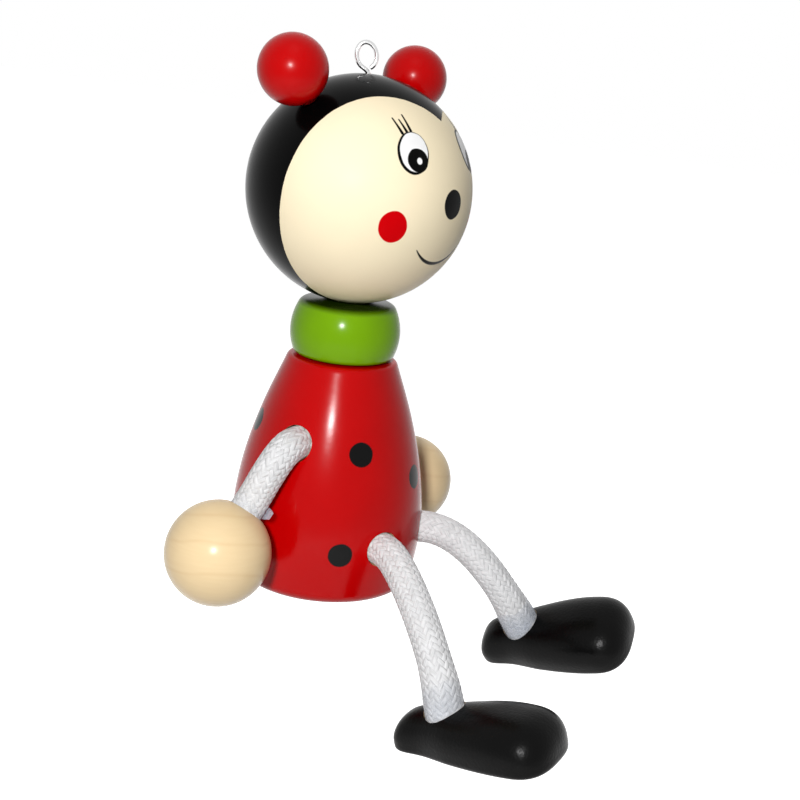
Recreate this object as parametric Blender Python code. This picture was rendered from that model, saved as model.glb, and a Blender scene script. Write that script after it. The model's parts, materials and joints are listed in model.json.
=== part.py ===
"""Hanging wooden ladybird doll: a turned torso, a ball head on a collar, and cord arms and legs.

Metres, +Z up. The origin is on the torso's axis, at the height where the screw eye hangs. Places in
this script are given from the centre of the torso's flat underside, and everything is parented to
one empty there. The torso faces -Y, so the doll's right side is at -X. The cords hold the limbs as
they are when the doll hangs still.
"""
import math

import bmesh
import bpy
import numpy as np
from mathutils import Matrix, Vector

MM = 0.001
GAP = 0.3 * MM
PROUD = 6.0 * MM

# Torso, turned about Z: radius at shares of its height, foot first.
TORSO_HEIGHT = 52.6 * MM
TORSO_SHARES = (0.0, 0.25, 0.5, 0.75, 1.0)
TORSO_FOOT_RADIUS = 20.7 * MM
TORSO_BELLY_RADIUS = 22.2 * MM
TORSO_MIDDLE_RADIUS = 20.85 * MM
TORSO_CHEST_RADIUS = 17.35 * MM
TORSO_TOP_RADIUS = 12.4 * MM
TORSO_RADII = (TORSO_FOOT_RADIUS, TORSO_BELLY_RADIUS, TORSO_MIDDLE_RADIUS, TORSO_CHEST_RADIUS,
               TORSO_TOP_RADIUS)
TORSO_FOOT_ROUND = 2.4 * MM
TORSO_TOP_ROUND = 0.8 * MM
TORSO_STEPS = 48

# Neck dowel, and the collar: a bead cut flat at both ends, on whose bore the head rests.
DOWEL_RADIUS = 4.0 * MM
DOWEL_IN_TORSO = 14.0 * MM
DOWEL_IN_HEAD = 12.0 * MM
DOWEL_CHAMFER = 0.4 * MM
COLLAR_HEIGHT = 12.6 * MM
COLLAR_RADIUS = 12.5 * MM
COLLAR_WIDEST = 5.6 * MM
COLLAR_BULGE = 13.0 * MM
COLLAR_BULGE_HALF = 13.0 * MM
COLLAR_STEPS = 40
COLLAR_BASE = TORSO_HEIGHT + GAP
COLLAR_TOP = COLLAR_BASE + COLLAR_HEIGHT

# Head ball. It was glued on a little turned toward the doll's right.
HEAD_RADIUS = 25.0 * MM
HEAD_SEAT = math.sqrt(HEAD_RADIUS ** 2 - (DOWEL_RADIUS + GAP) ** 2)
HEAD_CENTRE = Vector((0.0, 0.0, COLLAR_TOP + GAP + HEAD_SEAT))
HEAD_TURN = math.radians(-10.0)

# Ear balls on dowels; the direction is for the left ear of a head that faces -Y.
EAR_RADIUS = 7.4 * MM
EAR_DIRECTION = Vector((21.7, 3.7, 25.0)).normalized()
EAR_DISTANCE = HEAD_RADIUS + GAP + EAR_RADIUS
EAR_DOWEL_RADIUS = 1.5 * MM
EAR_DOWEL_HALF = 6.0 * MM

# Screw eye in the crown, a little off the pole and leaning in the plane of its ring.
EYE_WIRE_RADIUS = 0.5 * MM
EYE_RING_RADIUS = 2.15 * MM
EYE_RING_HALF_HEIGHT = 2.75 * MM
EYE_RISE = 3.8 * MM
EYE_OFFSET = -0.5 * MM
EYE_LEAN = math.radians(-12.0)
EYE_TAIL_TURN = math.radians(-64.0)
EYE_NECK_TURN = math.radians(236.0)
EYE_NECK_BEND = 1.2 * MM
EYE_NECK_SINK = 0.8 * MM
EYE_SHANK = 9.0 * MM
EYE_POINT = 1.6 * MM
EYE_THREAD_PITCH = 0.9 * MM
EYE_THREAD_DEPTH = 0.22 * MM
EYE_TURN = math.radians(-56.0)
EYE_HANG = (EYE_RISE + EYE_RING_HALF_HEIGHT - EYE_WIRE_RADIUS) * math.cos(EYE_LEAN)
HANGING_HEIGHT = HEAD_CENTRE.z + HEAD_RADIUS + EYE_HANG

# Limb cords and the tape wound round their ends.
CORD_RADIUS = 3.75 * MM
CORD_IN_TORSO = 10.0 * MM
CORD_STRAIGHT = 0.8 * MM
TAPE_INSIDE = CORD_RADIUS + GAP
TAPE_THICKNESS = 0.25 * MM
TAPE_OUT = 3.5 * MM
TAPE_IN = 3.5 * MM
TORSO_HOLE = CORD_RADIUS + GAP
LIMB_HOLE = TAPE_INSIDE + TAPE_THICKNESS + GAP

# Arms: the hole's azimuth from the torso's front and its drop from the torso's top, then each
# hand's azimuth, its drop below the hole, its clearance to the torso and the cord's way into it.
HAND_RADIUS = 11.5 * MM
HAND_CLEARANCE = 1.9 * MM
CORD_IN_HAND = 7.5 * MM
ARM_AZIMUTH = math.radians(90.0)
ARM_DROP = 17.0 * MM
ARM_PULL_OUT = 16.0 * MM
ARM_PULL_IN = 8.0 * MM
RIGHT_HAND_AZIMUTH = math.radians(-101.5)
RIGHT_HAND_DROP = 22.5 * MM
RIGHT_HAND_INTO = Vector((-0.56, 0.22, -0.80)).normalized()
LEFT_HAND_AZIMUTH = math.radians(84.5)
LEFT_HAND_DROP = 21.0 * MM
LEFT_HAND_INTO = Vector((0.50, -0.20, -0.84)).normalized()

# Legs: azimuth and height of the hole, then for each leg the way from it to the ankle, and the
# shoe's yaw, pitch and roll. A pull is how strongly a cord keeps its direction at one end.
LEG_AZIMUTH = math.radians(26.0)
LEG_HEIGHT = 13.5 * MM
LEG_PULL_IN = 30.0 * MM
RIGHT_LEG_PULL_OUT = 20.0 * MM
RIGHT_ANKLE_ASIDE = 14.0 * MM
RIGHT_ANKLE_AHEAD = 24.9 * MM
RIGHT_ANKLE_BELOW = 24.9 * MM
RIGHT_SHOE_TURN = tuple(math.radians(a) for a in (-6.9, 14.5, -6.0))
LEFT_LEG_PULL_OUT = 31.0 * MM
LEFT_ANKLE_ASIDE = 10.5 * MM
LEFT_ANKLE_AHEAD = 24.3 * MM
LEFT_ANKLE_BELOW = 21.2 * MM
LEFT_SHOE_TURN = tuple(math.radians(a) for a in (-1.6, 19.8, -30.5))

# Shoe, carved: half widths and heights along its length, heel first. The roundings are the powers of
# its heel and toe in plan, over the top and under the sole, then those of its section: side, top, sole.
SHOE_LENGTH = 38.3 * MM
SHOE_WIDTH_SHARES = (0.0, 0.2, 0.42, 0.72, 1.0)
SHOE_HEEL_HALF_WIDTH = 5.7 * MM
SHOE_SHANK_HALF_WIDTH = 6.0 * MM
SHOE_INSTEP_HALF_WIDTH = 8.1 * MM
SHOE_BALL_HALF_WIDTH = 9.75 * MM
SHOE_TOE_HALF_WIDTH = 9.45 * MM
SHOE_HALF_WIDTHS = (SHOE_HEEL_HALF_WIDTH, SHOE_SHANK_HALF_WIDTH, SHOE_INSTEP_HALF_WIDTH,
                    SHOE_BALL_HALF_WIDTH, SHOE_TOE_HALF_WIDTH)
SHOE_HEIGHT_SHARES = (0.0, 0.15, 0.38, 0.70, 1.0)
SHOE_HEEL_HEIGHT = 8.75 * MM
SHOE_SHANK_HEIGHT = 8.75 * MM
SHOE_INSTEP_HEIGHT = 10.0 * MM
SHOE_BALL_HEIGHT = 11.1 * MM
SHOE_TOE_HEIGHT = 10.0 * MM
SHOE_HEIGHTS = (SHOE_HEEL_HEIGHT, SHOE_SHANK_HEIGHT, SHOE_INSTEP_HEIGHT, SHOE_BALL_HEIGHT,
                SHOE_TOE_HEIGHT)
SHOE_HEEL_CAP = 0.18
SHOE_TOE_CAP = 0.19
SHOE_PLAN_ROUNDING = (3.8, 2.5)
SHOE_TOP_ROUNDING = (2.0, 2.6)
SHOE_SOLE_ROUNDING = (5.0, 4.2)
SHOE_SECTION_ROUNDING = (2.4, 2.1, 6.0)
SHOE_WAIST_SHARE = 0.30
SHOE_SIDES = 24
SHOE_HOLE_FROM_HEEL = 12.2 * MM
SHOE_HOLE_SINK = 0.3 * MM
CORD_IN_SHOE = 6.0 * MM
JOINT_MARK = 6.0 * MM

RED = (0.48, 0.0, 0.0)
GREEN = (0.16, 0.38, 0.01)
CREAM = (0.94, 0.82, 0.58)
WOOD = (0.86, 0.67, 0.40)
BLACK = (0.004, 0.004, 0.004)
CORD_WHITE = (0.74, 0.74, 0.75)
STEEL = (0.72, 0.72, 0.72)
TAPE = (0.80, 0.80, 0.80)


def clear_scene():
    """Remove every object of the open scene."""
    for obj in list(bpy.data.objects):
        bpy.data.objects.remove(obj, do_unlink=True)


def material(name, colour, roughness, metallic=0.0):
    """Return a Principled material."""
    mat = bpy.data.materials.new(name)
    mat.use_nodes = True
    shader = mat.node_tree.nodes["Principled BSDF"]
    shader.inputs["Base Color"].default_value = (*colour, 1.0)
    shader.inputs["Roughness"].default_value = roughness
    shader.inputs["Metallic"].default_value = metallic
    return mat


def smooth_through(xs, ys, x):
    """Values at x of a smooth curve through the points (xs, ys)."""
    xs = np.asarray(xs, float)
    ys = np.asarray(ys, float)
    slopes = np.gradient(ys, xs)
    i = np.clip(np.searchsorted(xs, x) - 1, 0, len(xs) - 2)
    h = xs[i + 1] - xs[i]
    t = (x - xs[i]) / h
    return ((1 + 2 * t) * (1 - t) ** 2 * ys[i] + t * (1 - t) ** 2 * h * slopes[i]
            + t * t * (3 - 2 * t) * ys[i + 1] + t * t * (t - 1) * h * slopes[i + 1])


def place(name, data, location, parent):
    """Link an object under its parent, or under the doll's own empty."""
    doll = bpy.data.objects.get("doll")
    obj = bpy.data.objects.new(name, data)
    bpy.context.collection.objects.link(obj)
    obj.parent = parent or doll
    obj.location = location
    return obj


def add(name, data, mat, location=(0, 0, 0), parent=None):
    """An object made from mesh or curve data."""
    data.materials.append(mat)
    return place(name, data, location, parent)


def mesh_from(bm, name, sharp=40.0):
    """Turn a bmesh into a smooth-shaded mesh with its edges kept."""
    mesh = bpy.data.meshes.new(name)
    bm.to_mesh(mesh)
    bm.free()
    mesh.shade_smooth()
    mesh.set_sharp_from_angle(angle=math.radians(sharp))
    return mesh


def turned(name, profile, steps, mat):
    """Turn a profile of (radius, height) points, top to bottom, about Z."""
    mesh = bpy.data.meshes.new(name)
    points = [(r, 0.0, z) for r, z in profile]
    mesh.from_pydata(points, [(i, i + 1) for i in range(len(points) - 1)], [])
    obj = add(name, mesh, mat)
    screw = obj.modifiers.new("turning", "SCREW")
    screw.angle = 2 * math.pi
    screw.steps = steps
    screw.render_steps = steps
    screw.use_merge_vertices = True
    screw.merge_threshold = 0.00001
    screw.use_smooth_shade = True
    return obj


def ball(name, radius, mat, segments, location, parent=None):
    """A wooden ball."""
    bm = bmesh.new()
    bmesh.ops.create_uvsphere(bm, u_segments=segments, v_segments=segments // 2, radius=radius)
    return add(name, mesh_from(bm, name), mat, location, parent)


def rod_mesh(name, radius, length, segments, chamfer=0.0):
    """A cylinder along Z from 0 to length, with its end edges chamfered."""
    bm = bmesh.new()
    bmesh.ops.create_cone(bm, cap_ends=True, segments=segments, radius1=radius, radius2=radius,
                          depth=length, matrix=Matrix.Translation((0, 0, length / 2)))
    if chamfer:
        rims = [e for e in bm.edges if abs(e.verts[0].co.z - e.verts[1].co.z) < length / 2]
        bmesh.ops.bevel(bm, geom=rims, offset=chamfer, segments=1, affect="EDGES")
    return mesh_from(bm, name)


def along(direction):
    """The turn that takes +Z to a direction."""
    return direction.to_track_quat("Z", "Y")


def dowel(name, start, end, radius, segments, mat):
    """A wooden dowel between two points."""
    obj = add(name, rod_mesh(name, radius, (end - start).length, segments, DOWEL_CHAMFER),
              mat, start)
    obj.rotation_mode = "QUATERNION"
    obj.rotation_quaternion = along(end - start)
    return obj


def cut(target, cutter, label):
    """Subtract a cutter from an object and keep the cutter as a wire guide."""
    cutter.hide_render = True
    cutter.display_type = "WIRE"
    boolean = target.modifiers.new(label, "BOOLEAN")
    boolean.operation = "DIFFERENCE"
    boolean.solver = "EXACT"
    boolean.object = cutter


def bore(target, label, mouth, inward, depth, radius, segments=24):
    """Drill a flat-bottomed hole that starts at a point on the surface."""
    name = target.name + "_" + label
    cutter = add(name, rod_mesh(name, radius, depth + PROUD, segments), target.data.materials[0],
                 mouth - inward * PROUD)
    cutter.rotation_mode = "QUATERNION"
    cutter.rotation_quaternion = along(inward)
    cut(target, cutter, label)


def torso_radius(height):
    """Radius of the torso's turned side at a height."""
    return smooth_through(TORSO_SHARES, TORSO_RADII, np.asarray(height) / TORSO_HEIGHT)


def torso_profile():
    """Torso outline from the axis at the top, down its side, to the axis at the bottom."""
    top = float(torso_radius(TORSO_HEIGHT))
    foot = float(torso_radius(TORSO_FOOT_ROUND))
    side = np.linspace(TORSO_HEIGHT - TORSO_TOP_ROUND, TORSO_FOOT_ROUND, 13)
    points = [(0.0, TORSO_HEIGHT), (top - TORSO_TOP_ROUND, TORSO_HEIGHT)]
    points += [(float(torso_radius(z)), float(z)) for z in side]
    for turn in np.radians((22.5, 45.0, 67.5, 90.0)):
        points.append((foot - TORSO_FOOT_ROUND * (1 - math.cos(turn)),
                       TORSO_FOOT_ROUND * (1 - math.sin(turn))))
    return points + [(0.0, 0.0)]


def collar_profile():
    """Outline of the collar's bulge from the axis at the top to the axis at the bottom."""
    points = [(0.0, COLLAR_TOP)]
    for z in np.linspace(COLLAR_TOP, COLLAR_BASE, 12):
        rise = (z - COLLAR_BASE - COLLAR_WIDEST) / COLLAR_BULGE_HALF
        radius = COLLAR_RADIUS - COLLAR_BULGE * (1 - math.sqrt(1 - rise * rise))
        points.append((radius, float(z)))
    return points + [(0.0, COLLAR_BASE)]


def sweep(name, points, radius_at, sides, mat, location):
    """A closed tube along points whose radius depends on the station and the angle round it."""
    bm = bmesh.new()
    rings = []
    normal = Vector((math.cos(EYE_TURN), math.sin(EYE_TURN), 0.0)).cross(Vector((0, 0, 1)))
    for i, point in enumerate(points):
        ahead = points[min(i + 1, len(points) - 1)] - points[max(i - 1, 0)]
        side = normal.cross(ahead).normalized()
        ring = []
        for k in range(sides):
            angle = 2 * math.pi * k / sides
            offset = (normal * math.cos(angle) + side * math.sin(angle)) * radius_at(i, angle)
            ring.append(bm.verts.new(point + offset))
        rings.append(ring)
    for a, b in zip(rings, rings[1:]):
        for k in range(sides):
            n = (k + 1) % sides
            bm.faces.new((a[k], a[n], b[n], b[k]))
    bm.faces.new(list(reversed(rings[0])))
    bm.faces.new(rings[-1])
    bmesh.ops.recalc_face_normals(bm, faces=bm.faces)
    return add(name, mesh_from(bm, name), mat, location)


def eye_axes():
    """The eye's direction across its ring, its leaning axis and the place where it enters."""
    across = Vector((math.cos(EYE_TURN), math.sin(EYE_TURN), 0.0))
    up = Vector((0.0, 0.0, 1.0))
    axis = up * math.cos(EYE_LEAN) + across * math.sin(EYE_LEAN)
    crown = HEAD_CENTRE + up * HEAD_RADIUS + across * EYE_OFFSET
    return across * math.cos(EYE_LEAN) - up * math.sin(EYE_LEAN), axis, crown


def screw_eye(mat):
    """Wire eye whose tail runs down into a threaded shank; its local origin is the crown."""
    across, up, crown = eye_axes()
    centre = up * EYE_RISE
    points = []
    for turn in np.linspace(EYE_TAIL_TURN, EYE_NECK_TURN, 28):
        points.append(centre + across * math.cos(turn) * EYE_RING_RADIUS
                      + up * math.sin(turn) * EYE_RING_HALF_HEIGHT)
    start = points[-1]
    leave = (points[-1] - points[-2]).normalized() * EYE_NECK_BEND
    foot = up * -EYE_NECK_SINK
    a = start + leave
    b = foot + up * EYE_NECK_BEND
    for t in np.linspace(0.0, 1.0, 8)[1:]:
        t = float(t)
        points.append(start * (1 - t) ** 3 + a * 3 * t * (1 - t) ** 2
                      + b * 3 * t * t * (1 - t) + foot * t ** 3)
    plain = len(points)
    step = EYE_THREAD_PITCH / 6
    count = int(EYE_SHANK / step)
    for i in range(1, count + 1):
        points.append(foot - up * step * i)

    def radius_at(i, angle):
        if i < plain + 2:
            return EYE_WIRE_RADIUS
        depth = (i - plain) * step
        taper = min(1.0, (EYE_SHANK - depth) / EYE_POINT + 0.25)
        ridge = 0.5 + 0.5 * math.cos(angle - 2 * math.pi * depth / EYE_THREAD_PITCH)
        return (EYE_WIRE_RADIUS + EYE_THREAD_DEPTH * ridge) * taper

    return sweep("screw_eye", points, radius_at, 8, mat, crown)


def shoe_mesh(name):
    """Shoe with its heel at x = 0, its toe along +X and its flat sole at z = 0."""
    heel = SHOE_HEEL_CAP * (1 - np.cos(np.linspace(0.12, math.pi / 2, 8)))
    toe = 1 - SHOE_TOE_CAP * (1 - np.cos(np.linspace(math.pi / 2, 0.12, 8)))
    middle = np.linspace(SHOE_HEEL_CAP, 1 - SHOE_TOE_CAP, 11)[1:-1]
    share = np.concatenate([heel, middle, toe])

    def closing(powers):
        back = np.clip((SHOE_HEEL_CAP - share) / SHOE_HEEL_CAP, 0, 1)
        front = np.clip((share - 1 + SHOE_TOE_CAP) / SHOE_TOE_CAP, 0, 1)
        return ((1 - back ** powers[0]) ** (1 / powers[0])
                * (1 - front ** powers[1]) ** (1 / powers[1]))

    width = smooth_through(SHOE_WIDTH_SHARES, SHOE_HALF_WIDTHS, share) * closing(SHOE_PLAN_ROUNDING)
    height = smooth_through(SHOE_HEIGHT_SHARES, SHOE_HEIGHTS, share)
    waist = SHOE_WAIST_SHARE * height
    top = (height - waist) * closing(SHOE_TOP_ROUNDING)
    bottom = waist * closing(SHOE_SOLE_ROUNDING)
    side_power, top_power, sole_power = (2 / power for power in SHOE_SECTION_ROUNDING)
    bm = bmesh.new()
    rings = []
    for i, s in enumerate(share):
        ring = []
        for k in range(SHOE_SIDES):
            angle = 2 * math.pi * (k + 0.5) / SHOE_SIDES
            c, n = math.cos(angle), math.sin(angle)
            y = width[i] * math.copysign(abs(c) ** side_power, c)
            if n > 0:
                z = waist[i] + top[i] * n ** top_power
            else:
                z = waist[i] - bottom[i] * (-n) ** sole_power
            ring.append(bm.verts.new((s * SHOE_LENGTH, y, z)))
        rings.append(ring)
    for a, b in zip(rings, rings[1:]):
        for k in range(SHOE_SIDES):
            n = (k + 1) % SHOE_SIDES
            bm.faces.new((a[k], b[k], b[n], a[n]))
    bm.faces.new(rings[0])
    bm.faces.new(list(reversed(rings[-1])))
    bmesh.ops.recalc_face_normals(bm, faces=bm.faces)
    return mesh_from(bm, name, 55.0)


def shoe_axes(turn):
    """Toe direction, side direction and up direction of a shoe from yaw, pitch and roll."""
    yaw, pitch, roll = turn
    toe = Vector((math.sin(yaw) * math.cos(pitch), -math.cos(yaw) * math.cos(pitch),
                  math.sin(pitch)))
    side = toe.cross(Vector((0, 0, 1))).normalized()
    up = side.cross(toe)
    return toe, side * math.cos(roll) + up * math.sin(roll), up * math.cos(roll) - side * math.sin(roll)


def outward(azimuth):
    """Horizontal direction at an azimuth from the torso's front, positive to the doll's left."""
    return Vector((math.sin(azimuth), -math.cos(azimuth), 0.0))


def free_curve(start, leave, end, arrive, count=17):
    """Points of the free part of a cord between two tangents."""
    points = []
    for t in np.linspace(0.0, 1.0, count):
        t = float(t)
        points.append(start * (2 * t ** 3 - 3 * t * t + 1) + leave * (t ** 3 - 2 * t * t + t)
                      + end * (3 * t * t - 2 * t ** 3) + arrive * (t ** 3 - t * t))
    return points


def cord(name, points, mat, pivot, parent):
    """A length of round cord through points, its origin on its joint."""
    data = bpy.data.curves.new(name, "CURVE")
    data.dimensions = "3D"
    data.fill_mode = "FULL"
    data.bevel_depth = CORD_RADIUS
    data.bevel_resolution = 4
    data.use_fill_caps = True
    spline = data.splines.new("POLY")
    spline.points.add(len(points) - 1)
    for target, point in zip(spline.points, points):
        target.co = (*(point - pivot), 1.0)
    spline.use_smooth = True
    return add(name, data, mat, (0, 0, 0), parent)


def tape(name, mouth, into, mat, pivot, parent):
    """A sleeve of tape round a cord's end, partly inside the hole."""
    inner = bmesh.new()
    low, high = -TAPE_OUT, TAPE_IN
    loop = [(TAPE_INSIDE, high), (TAPE_INSIDE, low), (TAPE_INSIDE + TAPE_THICKNESS, low),
            (TAPE_INSIDE + TAPE_THICKNESS, high)]
    verts = [inner.verts.new((r, 0.0, z)) for r, z in loop]
    edges = [inner.edges.new((verts[i], verts[(i + 1) % 4])) for i in range(4)]
    bmesh.ops.spin(inner, geom=verts + edges, cent=(0, 0, 0), axis=(0, 0, 1),
                   angle=2 * math.pi, steps=24, use_merge=True)
    bmesh.ops.remove_doubles(inner, verts=inner.verts, dist=0.000001)
    bmesh.ops.recalc_face_normals(inner, faces=inner.faces)
    obj = add(name, mesh_from(inner, name), mat, mouth - pivot, parent)
    obj.rotation_mode = "QUATERNION"
    obj.rotation_quaternion = along(into)
    return obj


def joint_empty(name, location, parent=None):
    """An empty on a joint's axis."""
    empty = place(name, None, location - parent.location if parent else location, parent)
    empty.empty_display_size = JOINT_MARK
    return empty


def on_torso(azimuth, height, clearance=0.0):
    """A point at a clearance outside the torso's side."""
    return outward(azimuth) * (float(torso_radius(height)) + clearance) + Vector((0, 0, height))


def limb(side, part, joints, torso, azimuth, root, mouth, into, pull, depth):
    """Cord, tape and joint empties of one limb; returns the second empty and its position."""
    out = outward(azimuth)
    bore(torso, side + "_" + part + "_hole", root, -out, CORD_IN_TORSO, TORSO_HOLE)
    start = root + out * CORD_STRAIGHT
    end = mouth - into * TAPE_OUT
    free = free_curve(start, out * pull[0], end, into * pull[1])
    half = len(free) // 2
    pivot = free[half]
    step = (free[half + 1] - free[half - 1]).normalized()
    upper = joint_empty(side + "_" + joints[0], root)
    lower = joint_empty(side + "_" + joints[1], pivot, upper)
    white = material(side + "_" + part + "_cord", CORD_WHITE, 0.85)
    inside = root - out * (CORD_IN_TORSO - GAP)
    cord(side + "_upper_" + part + "_cord", [inside, root - out * CORD_IN_TORSO / 2, root]
         + free[:half] + [pivot - step * GAP / 2], white, root, upper)
    cord(side + "_lower_" + part + "_cord", [pivot + step * GAP / 2] + free[half + 1:]
         + [mouth, mouth + into * depth], white, pivot, lower)
    tape(side + "_" + part + "_tape", mouth, into, material(side + "_" + part + "_tape", TAPE, 0.2),
         pivot, lower)
    return lower, pivot


def arm(side, sign, torso, hand_azimuth, drop, into):
    """One arm with its wooden hand."""
    azimuth = sign * ARM_AZIMUTH
    root = on_torso(azimuth, TORSO_HEIGHT - ARM_DROP)
    hand_centre = on_torso(hand_azimuth, root.z - drop, HAND_CLEARANCE + HAND_RADIUS)
    mouth = hand_centre - into * math.sqrt(HAND_RADIUS ** 2 - LIMB_HOLE ** 2)
    lower, pivot = limb(side, "arm", ("shoulder", "elbow"), torso, azimuth, root, mouth, into,
                        (ARM_PULL_OUT, ARM_PULL_IN), CORD_IN_HAND)
    hand = ball(side + "_hand", HAND_RADIUS, material(side + "_hand", WOOD, 0.3), 32,
                hand_centre - pivot, lower)
    bore(hand, "hole", mouth, into, CORD_IN_HAND + GAP, LIMB_HOLE)


def leg(side, sign, torso, aside, ahead, below, turn, pull_out):
    """One leg with its shoe."""
    azimuth = sign * LEG_AZIMUTH
    root = on_torso(azimuth, LEG_HEIGHT)
    toe, across, up = shoe_axes(turn)
    mouth = root + Vector((sign * aside, -ahead, -below))
    share = SHOE_HOLE_FROM_HEEL / SHOE_LENGTH
    instep = float(smooth_through(SHOE_HEIGHT_SHARES, SHOE_HEIGHTS, share)) - SHOE_HOLE_SINK
    heel = mouth - toe * SHOE_HOLE_FROM_HEEL - up * instep
    lower, pivot = limb(side, "leg", ("hip", "knee"), torso, azimuth, root, mouth, -up,
                        (pull_out, LEG_PULL_IN), CORD_IN_SHOE)
    name = side + "_shoe"
    shoe = add(name, shoe_mesh(name), material(name, BLACK, 0.12), heel - pivot, lower)
    shoe.rotation_euler = Matrix((toe, -across, up)).transposed().to_euler()
    bore(shoe, "hole", mouth, -up, CORD_IN_SHOE + GAP, LIMB_HOLE)


def build():
    """Build every piece."""
    clear_scene()
    up = Vector((0.0, 0.0, 1.0))
    joint_empty("doll", -up * HANGING_HEIGHT)

    torso = turned("torso", torso_profile(), TORSO_STEPS, material("torso", RED, 0.12))
    bore(torso, "neck_hole", up * TORSO_HEIGHT, -up, DOWEL_IN_TORSO, DOWEL_RADIUS + GAP)

    collar = turned("collar", collar_profile(), COLLAR_STEPS, material("collar", GREEN, 0.15))
    bore(collar, "bore", up * COLLAR_TOP, -up, COLLAR_HEIGHT + PROUD, DOWEL_RADIUS + GAP)

    head = ball("head", HEAD_RADIUS, material("head", CREAM, 0.2), 40, HEAD_CENTRE)
    head.rotation_euler.z = HEAD_TURN
    chin = HEAD_CENTRE - up * HEAD_RADIUS
    bore(head, "neck_hole", chin, up, DOWEL_IN_HEAD, DOWEL_RADIUS + GAP)
    dowel("neck_dowel", up * (TORSO_HEIGHT - DOWEL_IN_TORSO + GAP), chin + up * (DOWEL_IN_HEAD - GAP),
          DOWEL_RADIUS, 24, material("neck_dowel", WOOD, 0.6))

    axis, crown = eye_axes()[1:]
    bore(head, "eye_hole", crown, -axis, EYE_NECK_SINK + EYE_SHANK + GAP,
         EYE_WIRE_RADIUS + EYE_THREAD_DEPTH + GAP, 16)
    screw_eye(material("screw_eye", STEEL, 0.2, 1.0))

    turn = Matrix.Rotation(HEAD_TURN, 3, "Z")
    for side, sign in (("right", -1.0), ("left", 1.0)):
        direction = turn @ Vector((sign * EAR_DIRECTION.x, EAR_DIRECTION.y, EAR_DIRECTION.z))
        touch = HEAD_CENTRE + direction * (HEAD_RADIUS + GAP / 2)
        ear = ball(side + "_ear", EAR_RADIUS, material(side + "_ear", RED, 0.12), 24,
                   HEAD_CENTRE + direction * EAR_DISTANCE)
        bore(ear, "hole", touch, direction, EAR_DOWEL_HALF + GAP, EAR_DOWEL_RADIUS + GAP, 16)
        bore(head, side + "_ear_hole", touch, -direction, EAR_DOWEL_HALF + GAP,
             EAR_DOWEL_RADIUS + GAP, 16)
        dowel(side + "_ear_dowel", touch - direction * EAR_DOWEL_HALF,
              touch + direction * EAR_DOWEL_HALF, EAR_DOWEL_RADIUS, 16,
              material(side + "_ear_dowel", WOOD, 0.6))

    arm("right", -1.0, torso, RIGHT_HAND_AZIMUTH, RIGHT_HAND_DROP, RIGHT_HAND_INTO)
    arm("left", 1.0, torso, LEFT_HAND_AZIMUTH, LEFT_HAND_DROP, LEFT_HAND_INTO)
    leg("right", -1.0, torso, RIGHT_ANKLE_ASIDE, RIGHT_ANKLE_AHEAD, RIGHT_ANKLE_BELOW,
        RIGHT_SHOE_TURN, RIGHT_LEG_PULL_OUT)
    leg("left", 1.0, torso, LEFT_ANKLE_ASIDE, LEFT_ANKLE_AHEAD, LEFT_ANKLE_BELOW,
        LEFT_SHOE_TURN, LEFT_LEG_PULL_OUT)


build()
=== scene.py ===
"""Dresses a hanging wooden ladybird doll: lacquered turnings, a painted face and braided cord limbs.

Metres, +Z up. The origin is where the doll hangs, at the inside top of its screw eye. The doll faces
-Y, so its right side is at -X.
"""

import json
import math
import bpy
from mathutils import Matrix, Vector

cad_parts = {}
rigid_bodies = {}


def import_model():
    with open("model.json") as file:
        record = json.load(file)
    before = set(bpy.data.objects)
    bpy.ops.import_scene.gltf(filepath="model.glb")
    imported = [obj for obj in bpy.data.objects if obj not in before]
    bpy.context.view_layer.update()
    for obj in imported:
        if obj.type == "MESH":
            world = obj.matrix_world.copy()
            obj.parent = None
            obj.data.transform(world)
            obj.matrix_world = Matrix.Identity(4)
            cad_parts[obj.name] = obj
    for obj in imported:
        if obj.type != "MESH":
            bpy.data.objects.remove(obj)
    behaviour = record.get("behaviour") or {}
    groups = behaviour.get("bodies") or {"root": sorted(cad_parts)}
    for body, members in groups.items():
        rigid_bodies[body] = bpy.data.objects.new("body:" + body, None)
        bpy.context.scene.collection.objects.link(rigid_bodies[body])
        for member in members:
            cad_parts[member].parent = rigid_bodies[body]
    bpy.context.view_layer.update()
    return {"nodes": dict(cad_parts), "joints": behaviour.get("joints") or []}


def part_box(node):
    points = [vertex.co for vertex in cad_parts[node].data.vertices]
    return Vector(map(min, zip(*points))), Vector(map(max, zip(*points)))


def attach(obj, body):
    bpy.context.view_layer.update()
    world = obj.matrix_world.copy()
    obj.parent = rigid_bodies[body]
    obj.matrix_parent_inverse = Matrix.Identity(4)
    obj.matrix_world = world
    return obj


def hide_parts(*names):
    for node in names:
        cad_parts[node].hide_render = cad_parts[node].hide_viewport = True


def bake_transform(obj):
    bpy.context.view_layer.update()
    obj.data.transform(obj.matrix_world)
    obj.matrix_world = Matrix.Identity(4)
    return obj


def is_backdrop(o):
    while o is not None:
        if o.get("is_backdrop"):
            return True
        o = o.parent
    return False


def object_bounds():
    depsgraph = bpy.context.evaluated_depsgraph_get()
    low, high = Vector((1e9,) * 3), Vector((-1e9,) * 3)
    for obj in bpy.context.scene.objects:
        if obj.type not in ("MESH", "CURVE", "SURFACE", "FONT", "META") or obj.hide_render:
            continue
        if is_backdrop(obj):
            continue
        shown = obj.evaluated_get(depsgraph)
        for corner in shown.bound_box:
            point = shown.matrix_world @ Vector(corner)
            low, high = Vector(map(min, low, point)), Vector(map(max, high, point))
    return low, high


bl_info = {
    "name": "Hanging Ladybird Doll",
    "version": (1, 0, 0),
    "blender": (4, 5, 0),
    "location": "View3D > Sidebar > Doll",
    "description": "Lacquered wood, painted face, braided cords and stage of a hanging doll",
    "category": "Object",
}

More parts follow.
